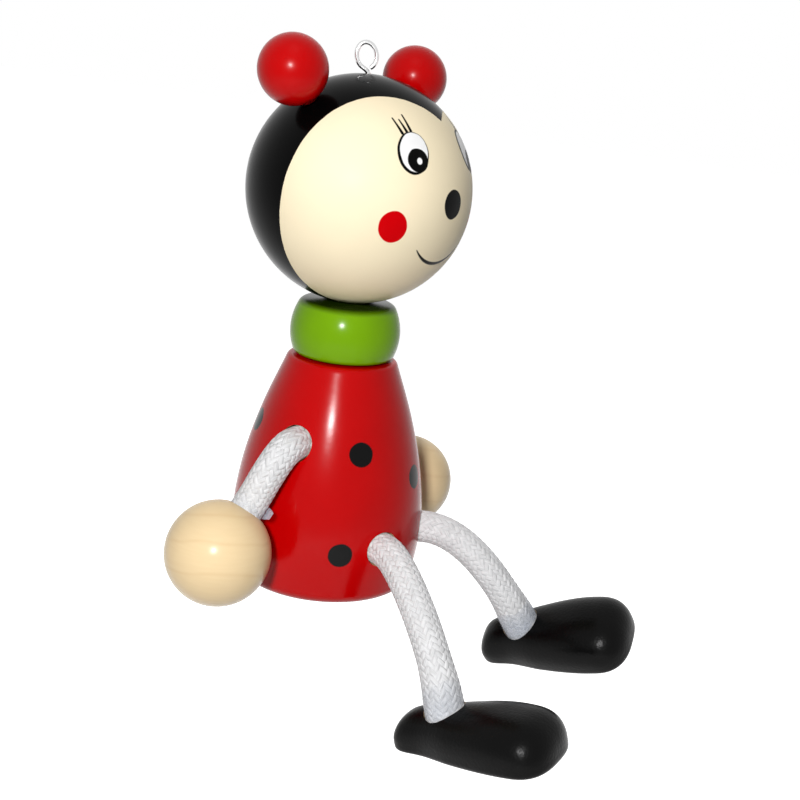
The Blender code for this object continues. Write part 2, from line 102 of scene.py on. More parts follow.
import bpy
import numpy as np
from bpy.props import FloatProperty, FloatVectorProperty, IntProperty, PointerProperty
from mathutils import Matrix, Vector

for leftover in list(bpy.data.objects):
    bpy.data.objects.remove(leftover, do_unlink=True)

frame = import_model()

MM = 0.001
# The gap that solids keep where they touch.
GAP = 0.3 * MM
UPRIGHT = (0.0, 0.0, 1.0)
SIDES = (("right", -1.0), ("left", 1.0))
JOINTS = {joint["name"]: np.array(joint["pos_m"]) for joint in frame["joints"]}
TORSO_FOOT, TORSO_TOP = (corner.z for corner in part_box("torso"))
COLLAR_FOOT, COLLAR_TOP = (corner.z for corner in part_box("collar"))


def number(name, value, description, unit="NONE"):
    """A number that isn't negative, with its unit if it has one."""
    return FloatProperty(name=name, description=description, default=value, min=0.0, unit=unit)


def length(name, millimetres, description, least=0.0):
    """A size of the doll, kept in metres."""
    return FloatProperty(name=name, description=description, default=millimetres * MM, min=least,
                         unit="LENGTH", precision=5)


def lengths(name, millimetres, description):
    """A row of sizes of the doll, kept in metres."""
    return FloatVectorProperty(name=name, description=description, size=len(millimetres),
                               default=[value * MM for value in millimetres], unit="LENGTH",
                               precision=5)


def angle(name, degrees, description):
    """An angle, kept in radians."""
    return FloatProperty(name=name, description=description, default=math.radians(degrees),
                         unit="ROTATION")


def paint(name, colour, description):
    """A colour in linear light."""
    return FloatVectorProperty(name=name, description=description, size=3, subtype="COLOR", min=0.0,
                               max=1.0, default=colour)


class TurningSizes(bpy.types.PropertyGroup):
    """Sizes of the turned wooden pieces"""
    torso_radii: lengths("Torso radii", (20.7, 22.2, 20.85, 17.35, 12.4),
                         "Radius of the torso at each quarter of its height, foot first")
    torso_foot_round: length("Torso foot round", 2.4, "Rounding of the torso's lower edge")
    torso_top_round: length("Torso top round", 0.8, "Rounding of the torso's upper edge")
    dowel_hole: length("Neck hole radius", 4.3, "Radius of the hole for the neck dowel")
    dowel_in_torso: length("Neck hole in torso", 14.0, "Depth of the neck hole in the torso")
    dowel_in_head: length("Neck hole in head", 12.0, "Depth of the neck hole in the head")
    collar_radius: length("Collar radius", 12.5, "Largest radius of the collar")
    collar_widest: length("Collar widest", 5.6, "Height of the collar's largest radius")
    collar_bulge: length("Collar bulge", 13.0, "Half depth of the bulge's full ellipse")
    collar_bulge_half: length("Collar bulge half", 13.0, "Half height of the bulge's full ellipse")
    collar_edge: length("Collar edge", 1.0, "Rounding of the collar's edges")
    head_radius: length("Head radius", 25.0, "Radius of the head ball")
    head_turn: angle("Head turn", -10.0, "Turn of the head toward the doll's left")
    ear_radius: length("Ear radius", 7.4, "Radius of an ear ball")
    ear_fillet: length("Ear fillet", 0.25, "Radius of the lacquer bead between ear and head")
    ear_hole: length("Ear hole radius", 1.8, "Radius of the holes for an ear's dowel")
    ear_hole_depth: length("Ear hole depth", 6.3, "Depth of an ear's dowel hole")
    hand_radius: length("Hand radius", 11.5, "Radius of a hand ball")
    hand_hole_depth: length("Hand hole depth", 7.8, "Depth of the cord's hole in a hand")


class WireSizes(bpy.types.PropertyGroup):
    """Sizes of the screw eye"""
    wire_radius: length("Wire radius", 0.5, "Radius of the wire")
    ring_radius: length("Ring half width", 2.15, "Half width of the ring at the wire's middle")
    ring_half_height: length("Ring half height", 2.75, "Half height of the ring at the wire's middle")
    rise: length("Ring rise", 3.8, "Height of the ring's centre above the head")
    offset: length("Offset", -0.5, "Place across the crown", least=-1.0)
    lean: angle("Lean", -12.0, "Lean of the eye in the plane of its ring")
    turn: angle("Turn", -56.0, "Direction of the ring's plane")
    tail_turn: angle("Tail turn", -76.0, "Where round the ring the wire starts")
    neck_turn: angle("Neck turn", 236.0, "Where round the ring the wire turns down")
    neck_bend: length("Neck bend", 1.2, "Softness of the bend into the shank")
    neck_sink: length("Neck sink", 0.8, "Depth at which the thread starts")
    shank: length("Shank", 9.0, "Length of the threaded shank")
    point: length("Point", 1.6, "Length of the shank's point")
    pitch: length("Thread pitch", 0.9, "Pitch of the thread")
    thread: length("Thread depth", 0.22, "Depth of the thread")


class CordSizes(bpy.types.PropertyGroup):
    """Sizes of the braided cords and of the tape at their ends"""
    radius: length("Cord radius", 3.75, "Outer radius of the braid")
    strands: IntProperty(name="Strands", description="Strands that wind each way", default=20,
                         min=4, step=4)
    lay: angle("Braid angle", 39.0, "Angle between a strand and the cord")
    strand_half_width: length("Strand half width", 0.60, "Half the width of a strand")
    strand_half_thickness: length("Strand half thickness", 0.17, "Half the thickness of a strand")
    weave: length("Weave", 0.10, "How far a strand rises and dips as it crosses others")
    step: length("Step", 0.24, "Distance of a strand's stations along the cord")
    in_torso: length("Cord in torso", 9.7, "Length of cord inside the torso")
    in_hand: length("Cord in hand", 7.5, "Length of cord inside a hand")
    in_shoe: length("Cord in shoe", 6.0, "Length of cord inside a shoe")
    straight: length("Straight", 0.8, "Length that stays straight outside the torso")
    torso_hole: length("Torso hole", 4.05, "Radius of a cord's hole in the torso")
    mouth_radius: length("Mouth radius", 4.6, "Radius of the mouth of a hand's hole")
    hand_hole: length("Hand hole", 4.02, "Radius of a cord's hole in a hand")
    shoe_hole: length("Shoe hole", 4.6, "Radius of a cord's hole in a shoe")
    leg_flare: number("Leg flare", 0.16, "Share by which a leg is thicker at its shoe")
    flare_length: length("Flare length", 13.0, "Length over which a leg grows thicker")
    straight_end: length("Straight end", 3.5, "Length that stays straight outside a hand or shoe")
    tape_gap: length("Tape gap", 0.03, "Gap between braid and tape")
    tape_thickness: length("Tape thickness", 0.11, "Thickness of the wound tape")
    arm_tape: length("Arm tape", 2.4, "Length of tape outside a hand")
    leg_tape: length("Leg tape", 6.2, "Length of tape outside a shoe")
    tape_in: length("Tape in", 3.5, "Length of tape inside the hole")


class ShoeSizes(bpy.types.PropertyGroup):
    """Sizes of the carved shoes"""
    length: length("Length", 38.3, "Length of a shoe")
    half_widths: lengths("Half widths", (5.7, 6.0, 8.1, 9.75, 9.45),
                         "Half widths from heel to toe")
    heights: lengths("Heights", (8.75, 8.75, 10.0, 11.1, 10.0), "Heights from heel to toe")
    hole_from_heel: length("Hole from heel", 12.2, "Distance of the cord's hole from the heel")
    hole_sink: length("Hole sink", 0.3, "Depth of the hole's centre below the instep")
    hole_depth: length("Hole depth", 6.3, "Depth of the cord's hole")


class Paints(bpy.types.PropertyGroup):
    """Colours of the doll"""
    red: paint("Red", (0.48, 0.0, 0.0005), "Red lacquer of the torso and ears")
    green: paint("Green", (0.165, 0.36, 0.0006), "Green lacquer of the collar")
    cream: paint("Cream", (0.94, 0.82, 0.58), "Cream paint of the face")
    black: paint("Black", (0.001, 0.001, 0.001), "Black lacquer and ink")
    white: paint("White", (0.90, 0.90, 0.90), "White of the eyes")
    cheek: paint("Cheek", (0.58, 0.0, 0.002), "Red of the cheeks")
    wood: paint("Wood", (0.86, 0.67, 0.40), "Varnished wood of the hands")
    grain: paint("Grain", (0.74, 0.52, 0.28), "Darker grain of the wood")
    cord: paint("Cord", (0.76, 0.76, 0.77), "White of the cords")
    wire: paint("Wire", (0.78, 0.78, 0.78), "Bright wire of the screw eye")
    tape: paint("Tape", (0.56, 0.61, 0.70), "Clear tape")


class StageSettings(bpy.types.PropertyGroup):
    """Camera, lamps and floor"""
    lens: number("Lens", 59.21, "Focal length in millimetres", "CAMERA")
    camera_place: FloatVectorProperty(name="Camera place", description="Where the camera stands",
                                      size=3, default=(-0.258974, -0.135609, 0.001054),
                                      subtype="TRANSLATION")
    camera_azimuth: angle("Camera azimuth", -65.129, "Direction that the camera stands in")
    camera_elevation: angle("Camera elevation", 15.089, "Angle of the camera above the doll")
    camera_roll: angle("Camera roll", 6.406, "Roll of the camera")
    key_power: number("Key power", 2.0, "Power of the key lamp", "POWER")
    key_size: length("Key size", 40.0, "Side of the square key lamp")
    lamp_distance: length("Lamp distance", 450.0, "Distance of the lamps from the doll")
    key_aside: angle("Key aside", -8.0, "Turn of the key lamp from the camera's direction")
    key_above: angle("Key above", 6.0, "Rise of the key lamp from the camera's direction")
    fill: number("Fill", 0.04, "Strength of the even light of the room")
    soft_size: length("Soft size", 200.0, "Side of the two soft square lamps")
    top_power: number("Top power", 0.28, "Power of the lamp above the doll", "POWER")
    top_elevation: angle("Top elevation", 68.0, "Angle of the lamp above, on the camera's side")
    back_power: number("Back power", 1.0, "Power of the lamp behind the doll", "POWER")
    back_elevation: angle("Back elevation", 145.0, "Angle of the lamp behind, over the doll's top")
    floor_drop: length("Floor drop", 60.0, "Distance of the floor below the doll")


class DollSettings(bpy.types.PropertyGroup):
    """All settings of the doll"""
    turning: PointerProperty(type=TurningSizes)
    wire: PointerProperty(type=WireSizes)
    cords: PointerProperty(type=CordSizes)
    shoes: PointerProperty(type=ShoeSizes)
    paints: PointerProperty(type=Paints)
    stage: PointerProperty(type=StageSettings)


def settings():
    """The settings of the open scene."""
    return bpy.context.scene.doll


# Surfaces

def unit(vector):
    """The direction of a vector, or of each row of an array."""
    vector = np.asarray(vector, float)
    return vector / np.linalg.norm(vector, axis=-1, keepdims=True)


def outward(point):
    """The level direction from the doll's axis to a point."""
    return unit(point * (1.0, 1.0, 0.0))


def heading(azimuth, elevation):
    """The direction of an azimuth, counted from the doll's front to its left, and an elevation."""
    return (math.sin(azimuth) * math.cos(elevation), -math.cos(azimuth) * math.cos(elevation),
            math.sin(elevation))


def full_turn(count):
    """Angles in equal steps round a full turn."""
    return np.linspace(0.0, 2 * math.pi, count, endpoint=False)


def run_along(points):
    """How far along a line each of its points is: the sum of the steps before it."""
    return np.concatenate([[0.0], np.cumsum(np.linalg.norm(np.diff(points, axis=0), axis=1))])


def read_off(distance, run, rows):
    """Rows of three numbers, read off at distances between the stations that they belong to."""
    return np.stack([np.interp(distance, run, column) for column in rows.T], -1)


def smooth_through(xs, ys, x):
    """Values at x of cubic pieces through the points (xs, ys), whose slopes are central differences."""
    xs = np.asarray(xs, float)
    ys = np.asarray(ys, float)
    slopes = np.gradient(ys, xs)
    i = np.clip(np.searchsorted(xs, x) - 1, 0, len(xs) - 2)
    h = xs[i + 1] - xs[i]
    t = (x - xs[i]) / h
    return ((1 + 2 * t) * (1 - t) ** 2 * ys[i] + t * (1 - t) ** 2 * h * slopes[i]
            + t * t * (3 - 2 * t) * ys[i + 1] + t * t * (t - 1) * h * slopes[i + 1])


def skin(rings, start=None, end=None, loop=False):
    """Points and faces of a surface through rings of points, each ring closed.

    Ring k is joined to ring k + 1 by quads. A start or end point closes that end with a fan, and a
    loop joins the last ring to the first.
    """
    rows, columns = rings.shape[:2]
    index = np.arange(rows * columns).reshape(rows, columns)
    below = index if loop else index[:-1]
    above = np.roll(index, -1, 0) if loop else index[1:]
    faces = [np.stack([below, np.roll(below, -1, 1), np.roll(above, -1, 1), above], -1).reshape(-1, 4)]
    points = rings.reshape(-1, 3)
    for tip, ring, order in ((start, index[0], -1), (end, index[-1], 1)):
        if tip is not None:
            apex = np.full(columns, len(points))
            faces.append(np.stack([ring, np.roll(ring, -1), apex], -1)[:, ::order])
            points = np.vstack([points, tip])
    return points, faces


def turned(profile, sides, loop=False):
    """Surface of a profile of (radius, height) rows turned once about Z.

    x is radius times the cosine of the turn, y is radius times its sine. A profile that starts or
    ends on the axis is closed there; a loop is a ring whose profile comes back to its start.
    """
    profile = np.asarray(profile, float)
    on_axis = profile[:, 0] < 1e-9
    ring = profile[~on_axis]
    turn = full_turn(sides)
    rings = np.stack([ring[:, :1] * np.cos(turn), ring[:, :1] * np.sin(turn),
                      np.repeat(ring[:, 1:], sides, 1)], -1)
    start = (0.0, 0.0, profile[0, 1]) if on_axis[0] else None
    end = (0.0, 0.0, profile[-1, 1]) if on_axis[-1] else None
    return skin(rings, start, end, loop)


def arc(centre, radius, first, last, count):
    """Points of an arc in the profile plane, from one angle to another in radians."""
    turn = np.linspace(first, last, count)
    return np.stack([centre[0] + radius * np.cos(turn), centre[1] + radius * np.sin(turn)], -1)


def dome(centre, radius, first, count):
    """Points of a ball's outline from an angle up to the axis."""
    points = arc(centre, radius, first, math.pi / 2, count)
    points[-1, 0] = 0.0
    return points


def aimed(points, axis, place):
    """Points turned so that +Z goes along an axis, then moved from the origin to a place."""
    return points @ np.array(Vector(axis).to_track_quat("Z", "Y").to_matrix()).T + place


def enclosed(points, faces):
    """Six times the volume that the faces enclose, negative where they point inwards."""
    total = 0.0
    for face in faces:
        for k in range(1, face.shape[1] - 1):
            a, b, c = (points[face[:, i]] for i in (0, k, k + 1))
            total += np.einsum("ij,ij->", a, np.cross(b, c))
    return total


def add_object(name, data):
    """An object in the open scene."""
    obj = bpy.data.objects.new(name, data)
    bpy.context.scene.collection.objects.link(obj)
    return obj


SHARP_EDGE = math.radians(50)
SHARP_BORE_EDGE = math.radians(40)
BORE_SIDES = 64


def add_piece(name, points, faces, materials, uv=None, flat=None):
    """An object of points and lists of faces of one size each, turned so that its faces point out.

    uv gives a place for each point, and flat lists which of the face lists stay unsmoothed.
    """
    if enclosed(points, faces) < 0:
        faces = [face[:, ::-1] for face in faces]
    corners = np.concatenate([face.ravel() for face in faces])
    sizes = np.concatenate([np.full(len(face), face.shape[1]) for face in faces])
    mesh = bpy.data.meshes.new(name)
    mesh.vertices.add(len(points))
    mesh.vertices.foreach_set("co", points.astype(np.float32).ravel())
    mesh.loops.add(len(corners))
    mesh.loops.foreach_set("vertex_index", corners.astype(np.int32))
    mesh.polygons.add(len(sizes))
    mesh.polygons.foreach_set("loop_start", (np.cumsum(sizes) - sizes).astype(np.int32))
    mesh.update(calc_edges=True)
    if mesh.validate():
        raise RuntimeError(name + " has faces that Blender can't use")
    if uv is not None:
        layer = mesh.uv_layers.new(name="strand")
        layer.uv.foreach_set("vector", uv[corners].astype(np.float32).ravel())
    mesh.shade_smooth()
    if flat is None:
        mesh.set_sharp_from_angle(angle=SHARP_EDGE)
    else:
        rough = np.concatenate([np.full(len(face), k in flat) for k, face in enumerate(faces)])
        mesh.polygons.foreach_set("use_smooth", ~rough)
    for material in materials:
        mesh.materials.append(material)
    return add_object(name, mesh)


def drill(obj, bores):
    """Cut round, flat-bottomed holes; each bore is a mouth, an inward direction, a depth and a radius.

    The walls take the object's second material.
    """
    proud = 6.0 * MM
    cutters = []
    for mouth, inward, depth, radius in bores:
        profile = [(0.0, -proud), (radius, -proud), (radius, depth), (0.0, depth)]
        points, faces = turned(profile, BORE_SIDES)
        cutter = add_piece("cutter", aimed(points, inward, mouth), faces, obj.data.materials)
        cutter.data.polygons.foreach_set("material_index", np.ones(len(cutter.data.polygons), np.int32))
        cutters.append(cutter)
        modifier = obj.modifiers.new("bore", "BOOLEAN")
        modifier.operation = "DIFFERENCE"
        modifier.solver = "EXACT"
        modifier.object = cutter
    depsgraph = bpy.context.evaluated_depsgraph_get()
    mesh = bpy.data.meshes.new_from_object(obj.evaluated_get(depsgraph))
    obj.modifiers.clear()
    obj.data = mesh
    for cutter in cutters:
        bpy.data.objects.remove(cutter, do_unlink=True)
    mesh.shade_smooth()
    mesh.set_sharp_from_angle(angle=SHARP_BORE_EDGE)


def dress(obj, body, slot, *nodes):
    """Let a piece ride on a body and stand it for its CAD nodes; the slot is not used."""
    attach(obj, body)
    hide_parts(*nodes)


# Shader maths

class Value:
    """A node's socket; as a number it takes part in arithmetic, and every operator adds a Math node."""

    def __init__(self, finish, socket):
        self.finish = finish
        self.socket = socket

    def math(self, operation, *others, clamp=False):
        """A Math node whose first input is this value."""
        inputs = dict(enumerate((self, *others)))
        return self.finish.node("ShaderNodeMath", {"operation": operation, "use_clamp": clamp}, inputs)

    def reflected(self, operation, other):
        """A Math node whose second input is this value."""
        return self.finish.node("ShaderNodeMath", {"operation": operation}, {0: other, 1: self})

    def __add__(self, other):
        return self.math("ADD", other)

    def __radd__(self, other):
        return self.reflected("ADD", other)

    def __sub__(self, other):
        return self.math("SUBTRACT", other)

    def __rsub__(self, other):
        return self.reflected("SUBTRACT", other)

    def __mul__(self, other):
        return self.math("MULTIPLY", other)

    def __rmul__(self, other):
        return self.reflected("MULTIPLY", other)

    def __truediv__(self, other):
        return self.math("DIVIDE", other)

    def __rtruediv__(self, other):
        return self.reflected("DIVIDE", other)

    def __neg__(self):
        return self.reflected("SUBTRACT", 0.0)

    def __abs__(self):
        return self.math("ABSOLUTE")

    def __pow__(self, power):
        return self.math("POWER", power)

    def clamped(self):
        """The value held between 0 and 1."""
        return self.math("ADD", 0.0, clamp=True)

    def most(self, other):
        """The larger of two values."""
        return self.math("MAXIMUM", other)

    def root(self):
        """The square root."""
        return self.math("SQRT")


class Finish:
    """A Principled material whose varying values are written as expressions."""

    def __init__(self, name, **constants):
        self.material = bpy.data.materials.new(name)
        self.material.use_nodes = True
        self.tree = self.material.node_tree
        self.shader = self.tree.nodes["Principled BSDF"]
        for socket, value in constants.items():
            self.set(socket.replace("_", " "), value)

    def set(self, socket, value):
        """Set one of the shader's own sockets, or link a value to it."""
        if isinstance(value, Value):
            self.tree.links.new(value.socket, self.shader.inputs[socket])
        else:
            target = self.shader.inputs[socket]
            target.default_value = (*value, 1.0) if target.type == "RGBA" else value

    def node(self, kind, options=None, inputs=None, output=0):
        """Any node: its type, its options, which are set first, and its sockets' values or links."""
        node = self.tree.nodes.new(kind)
        for option, value in (options or {}).items():
            setattr(node, option, value)
        for key, value in (inputs or {}).items():
            if isinstance(value, Value):
                self.tree.links.new(value.socket, node.inputs[key])
            else:
                node.inputs[key].default_value = value
        return Value(self, node.outputs[output])

    def place(self):
        """The piece's own coordinates."""
        return self.node("ShaderNodeTexCoord", output="Object")

    def strand(self):
        """The piece's own map: the place along and round a strand, or the amount of tape."""
        return self.node("ShaderNodeUVMap", {"uv_map": "strand"})

    def vectors(self, operation, first, second, output=0):
        """A Vector Math node of two vectors."""
        return self.node("ShaderNodeVectorMath", {"operation": operation}, {0: first, 1: second}, output)

    def shift(self, vector, origin):
        """A vector counted from another origin."""
        return self.vectors("SUBTRACT", vector, origin)

    def stretched(self, vector, scale):
        """A vector with each part scaled."""
        return self.vectors("MULTIPLY", vector, scale)

    def along(self, vector, axis):
        """How far a vector reaches along an axis."""
        return self.vectors("DOT_PRODUCT", vector, axis, "Value")

    def apart(self, vector, point):
        """How far a vector's end is from a point."""
        return self.vectors("DISTANCE", vector, point, "Value")

    def noise(self, vector, scale, detail):
        """Soft noise from 0 to 1."""
        return self.node("ShaderNodeTexNoise", None,
                         {"Vector": vector, "Scale": scale, "Detail": detail})

    def cloud(self, place):
        """Noise that changes slowly over a lacquered piece."""
        return self.noise(place, scale=90.0, detail=3.0)

    def uneven(self, place, spread):
        """A factor about 1 that wanders over a piece."""
        return 1.0 - spread / 2 + spread * self.noise(place, scale=160.0, detail=3.0)

    def mix(self, share, first, second):
        """A colour between two colours."""
        first, second = (c if isinstance(c, Value) else (*c, 1.0) for c in (first, second))
        return self.node("ShaderNodeMix", {"data_type": "RGBA"}, {0: share, 6: first, 7: second}, 2)

    def tones(self, share, colour, low, high):
        """A colour between two strengths of one paint, neither above white."""
        return self.mix(share, *([min(1.0, c * strength) for c in colour] for strength in (low, high)))

    def relief(self, height, distance):
        """Bump from a height between 0 and 1 that stands for a distance in metres."""
        self.set("Normal", self.node("ShaderNodeBump", None, {"Height": height, "Distance": distance}))


def inside(distance, soft):
    """A mask that is 1 where a distance is negative, with a soft edge of a given width."""
    return (0.5 - distance / soft).clamped()


def any_of(first, *others):
    """A mask of all that several masks cover: the largest of them."""
    for other in others:
        first = first.most(other)
    return first


def varnish(finish, place, roughness, ripple=0.012 * MM, ripple_scale=420.0):
    """Brushed lacquer: faint waves in the film and a roughness that wanders a little."""
    finish.relief(finish.noise(place, ripple_scale, detail=1.0), ripple)
    finish.set("Roughness", roughness * finish.uneven(place, 0.4))


def lacquer(name, colour, roughness, gloss, **ripple):
    """One-colour lacquer, a little deeper in places, with the film's ripple if it isn't the usual one."""
    finish = Finish(name, Specular_IOR_Level=gloss)
    place = finish.place()
    finish.set("Base Color", finish.tones(finish.cloud(place), colour, 0.90, 1.08))
    varnish(finish, place, roughness, **ripple)
    return finish.material


def bare_wood():
    """Unpainted end and side grain of dowels and drilled holes, made once for all of them."""
    name = "bare_wood"
    if name in bpy.data.materials:
        return bpy.data.materials[name]
    paints = settings().paints
    finish = Finish(name, Specular_IOR_Level=0.2)
    place = finish.place()
    fibre = finish.noise(finish.stretched(place, (1.0, 1.0, 0.15)), scale=1400.0, detail=3.0)
    finish.set("Base Color", finish.mix(fibre, paints.grain, paints.wood))
    finish.set("Roughness", 0.65 + 0.2 * fibre)
    finish.relief(fibre, 0.05 * MM)
    return finish.material


# Torso and collar

def torso_radius(height):
    """Radius of the torso's side at a height above its foot."""
    radii = settings().turning.torso_radii
    return smooth_through(np.linspace(0.0, 1.0, len(radii)), radii,
                          np.asarray(height) / (TORSO_TOP - TORSO_FOOT))


def torso_profile():
    """Outline of the torso: foot, rounded edge, turned side, rounded top and the neck's hole."""
    turning = settings().turning
    height = TORSO_TOP - TORSO_FOOT
    foot, top = turning.torso_foot_round, turning.torso_top_round
    low = np.linspace(math.pi / 2, 0.0, 14)
    high = np.linspace(0.0, math.pi / 2, 8)
    plain = np.linspace(foot, height - top, 110)[1:-1]
    z = np.concatenate([foot * (1 - np.sin(low)), plain, height - top + top * np.sin(high)])
    drawn_in = np.concatenate([foot * (1 - np.cos(low)), np.zeros_like(plain), top * (1 - np.cos(high))])
    side = np.stack([torso_radius(z) - drawn_in, z], -1)
    hole = turning.dowel_hole
    floor = height - turning.dowel_in_torso
    under = np.linspace(0.0, side[0, 0], 12)[:-1]
    underside = np.stack([under, np.zeros_like(under)], -1)
    neck = [(hole, height), (hole, floor), (0.0, floor)]
    return np.vstack([underside, side, neck]) + (0.0, TORSO_FOOT)


SPOT_RADIUS = 2.75 * MM
SPOT_EDGE = 0.25 * MM
# Each spot's azimuth in degrees, from the front to the doll's left, and its height in millimetres.
SPOTS = ((-43.0, 35.0), (-52.5, 12.7), (5.0, 28.0), (-138.5, 37.0), (50.0, 37.5), (57.0, 14.5),
         (104.0, 20.0), (142.0, 35.0), (-112.0, 12.0), (178.0, 17.0), (-165.0, 33.0))


def torso_finish():
    """Red lacquer with round black spots, a little uneven, about their centres on the torso's side."""
    paints = settings().paints
    finish = Finish("red_lacquer_spotted", Specular_IOR_Level=0.12)
    place = finish.place()
    wobble = SPOT_EDGE * (finish.noise(place, scale=500.0, detail=1.0) - 0.5)
    spots = []
    for azimuth, height in SPOTS:
        turn = math.radians(azimuth)
        radius = float(torso_radius(height * MM))
        centre = (math.sin(turn) * radius, -math.cos(turn) * radius, TORSO_FOOT + height * MM)
        spots.append(inside(finish.apart(place, centre) + wobble - SPOT_RADIUS, SPOT_EDGE))
    red = finish.tones(finish.cloud(place), paints.red, 0.90, 1.08)
    finish.set("Base Color", finish.mix(any_of(*spots), red, paints.black))
    varnish(finish, place, roughness=0.19)
    return finish.material


COLLAR_SEAT_WIDTH = 1.7 * MM
COLLAR_SEAT_RISE = 0.9 * GAP
# Painted shade under the head: how far below the collar's top it begins and how softly, in millimetres.
COLLAR_SHADE_DROP = 0.55
COLLAR_SHADE_SOFTNESS = 1.3


def collar_profile():
    """Outline of the collar: an elliptic bulge with rounded edges, the head's seat and the bore."""
    turning = settings().turning
    z = np.linspace(COLLAR_FOOT, COLLAR_TOP, 72)
    rise = (z - COLLAR_FOOT - turning.collar_widest) / turning.collar_bulge_half
    radius = turning.collar_radius - turning.collar_bulge * (1 - np.sqrt(1 - rise * rise))
    edge = turning.collar_edge
    reach = np.minimum(np.minimum(z - COLLAR_FOOT, COLLAR_TOP - z) / edge, 1.0)
    radius = radius - edge * (1 - np.sqrt(1 - (1 - reach) ** 2))
    hole = turning.dowel_hole
    seat = [(hole + COLLAR_SEAT_WIDTH, COLLAR_TOP), (hole, COLLAR_TOP + COLLAR_SEAT_RISE)]
    return np.vstack([np.stack([radius, z], -1), seat, [(hole, COLLAR_FOOT)]])


def collar_finish():
    """Green lacquer with painted shade that darkens it toward the top edge, under the head."""
    green = settings().paints.green
    finish = Finish("green_lacquer", Specular_IOR_Level=0.12)
    place = finish.place()
    cloud = finish.cloud(place)
    height = finish.along(place, (0.0, 0.0, 1.0 / MM)) + 0.5 * cloud
    # Painted shade: the green is mixed toward near black at the top edge, where the head overhangs the
    # collar.
    shade = inside(COLLAR_TOP / MM - COLLAR_SHADE_DROP - height, COLLAR_SHADE_SOFTNESS)
    lit = finish.tones(cloud, green, 0.92, 1.08)
    finish.set("Base Color", finish.mix(shade, lit, [c * 0.08 for c in green]))
    varnish(finish, place, roughness=0.2)
    return finish.material


class DOLL_OT_torso(bpy.types.Operator):
    """Turn the torso, drill it for four cords and lacquer it red with black spots"""
    bl_idname = "doll.torso"
    bl_label = "Torso"

    def execute(self, context):
        cords = settings().cords
        obj = add_piece("spotted_torso", *turned(torso_profile(), sides=224), [torso_finish(), bare_wood()])
        bores = []
        for side, _ in SIDES:
            for joint in ("shoulder", "hip"):
                mouth = JOINTS[side + "_" + joint]
                bores.append((mouth, -outward(mouth), cords.in_torso + GAP, cords.torso_hole))
        drill(obj, bores)
        dress(obj, "torso", "red_lacquer", "torso")
        return {"FINISHED"}


class DOLL_OT_collar(bpy.types.Operator):
    """Turn the green collar"""
    bl_idname = "doll.collar"
    bl_label = "Collar"

    def execute(self, context):
        obj = add_piece("lacquered_collar", *turned(collar_profile(), sides=160, loop=True),
                        [collar_finish()])
        dress(obj, "torso", "green_lacquer", "collar")
        return {"FINISHED"}


# Head

def head_centre():
    """Centre of the head ball, which reaches as high as its node."""
    return np.array((0.0, 0.0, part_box("head")[1].z - settings().turning.head_radius))


def head_axes():
    """The head's own directions: to its left, backwards and up."""
    turn = settings().turning.head_turn
    return np.array(((math.cos(turn), math.sin(turn), 0.0), (-math.sin(turn), math.cos(turn), 0.0),
                     UPRIGHT))


EAR_TOWARD = (21.7, 3.7, 25.0)


def ear_direction(sign):
    """Direction of an ear from the head's centre, mirrored by its sign."""
    aside, back, up = EAR_TOWARD
    return unit((sign * aside, back, up)) @ head_axes()


# The painted face, in millimetres from the head's centre: to the head's left, backwards and up. The
# cheeks and lashes are given for the left side and mirrored, and the hood is mirrored about a line a
# little to the left. The eyes were drawn by hand and both look to the head's left, so each side has
# its own, also given as if for the left side.
NOSE = ((0.4, -25.0, 0.6), (3.05, 3.15))
EYE_UP = (-2.22, 3.21, 7.89)
EYES = {-1.0: {"line": ((9.48, -20.30, 10.82), (3.68, 4.62)),
               "white": ((9.28, -20.32, 11.00), (3.25, 4.22)),
               "pupil": ((8.95, -21.28, 9.40), (2.45, 2.52)),
               "glint": ((8.69, -21.54, 9.26), (0.60, 0.68))},
        1.0: {"line": ((9.55, -19.95, 11.45), (3.95, 4.75)),
              "white": ((9.62, -19.95, 11.50), (3.25, 4.22)),
              "pupil": ((11.15, -20.40, 8.95), (2.60, 2.60)),
              "glint": ((11.60, -20.30, 8.80), (0.60, 0.68))}}
LASHES = (((10.37, -17.64, 14.37), (10.62, -14.82, 17.10)),
          ((9.30, -17.96, 14.70), (9.52, -15.74, 16.93)),
          ((8.37, -18.21, 14.95), (8.25, -15.39, 17.89)))
LASH_HALF_WIDTHS = (0.35, 0.17)
CHEEK = ((13.90, -20.33, -4.30), (3.12, 3.43))
CHEEK_UP = (1.0, -0.8, 6.8)
SMILE_CENTRE = (0.8, -1.5)
SMILE_RADIUS = 11.0
SMILE_END_HEIGHT = -9.1
SMILE_HALF_WIDTH = 0.30
HOOD_MIDDLE = 2.4
HOOD_EDGE = (-16.17, 0.6156, -0.2222, 0.00646, 0.00325)
PAINT_EDGE = 0.16
# How far behind the plane of its centre an oval still paints the head.
OVAL_DEPTH = 10.0


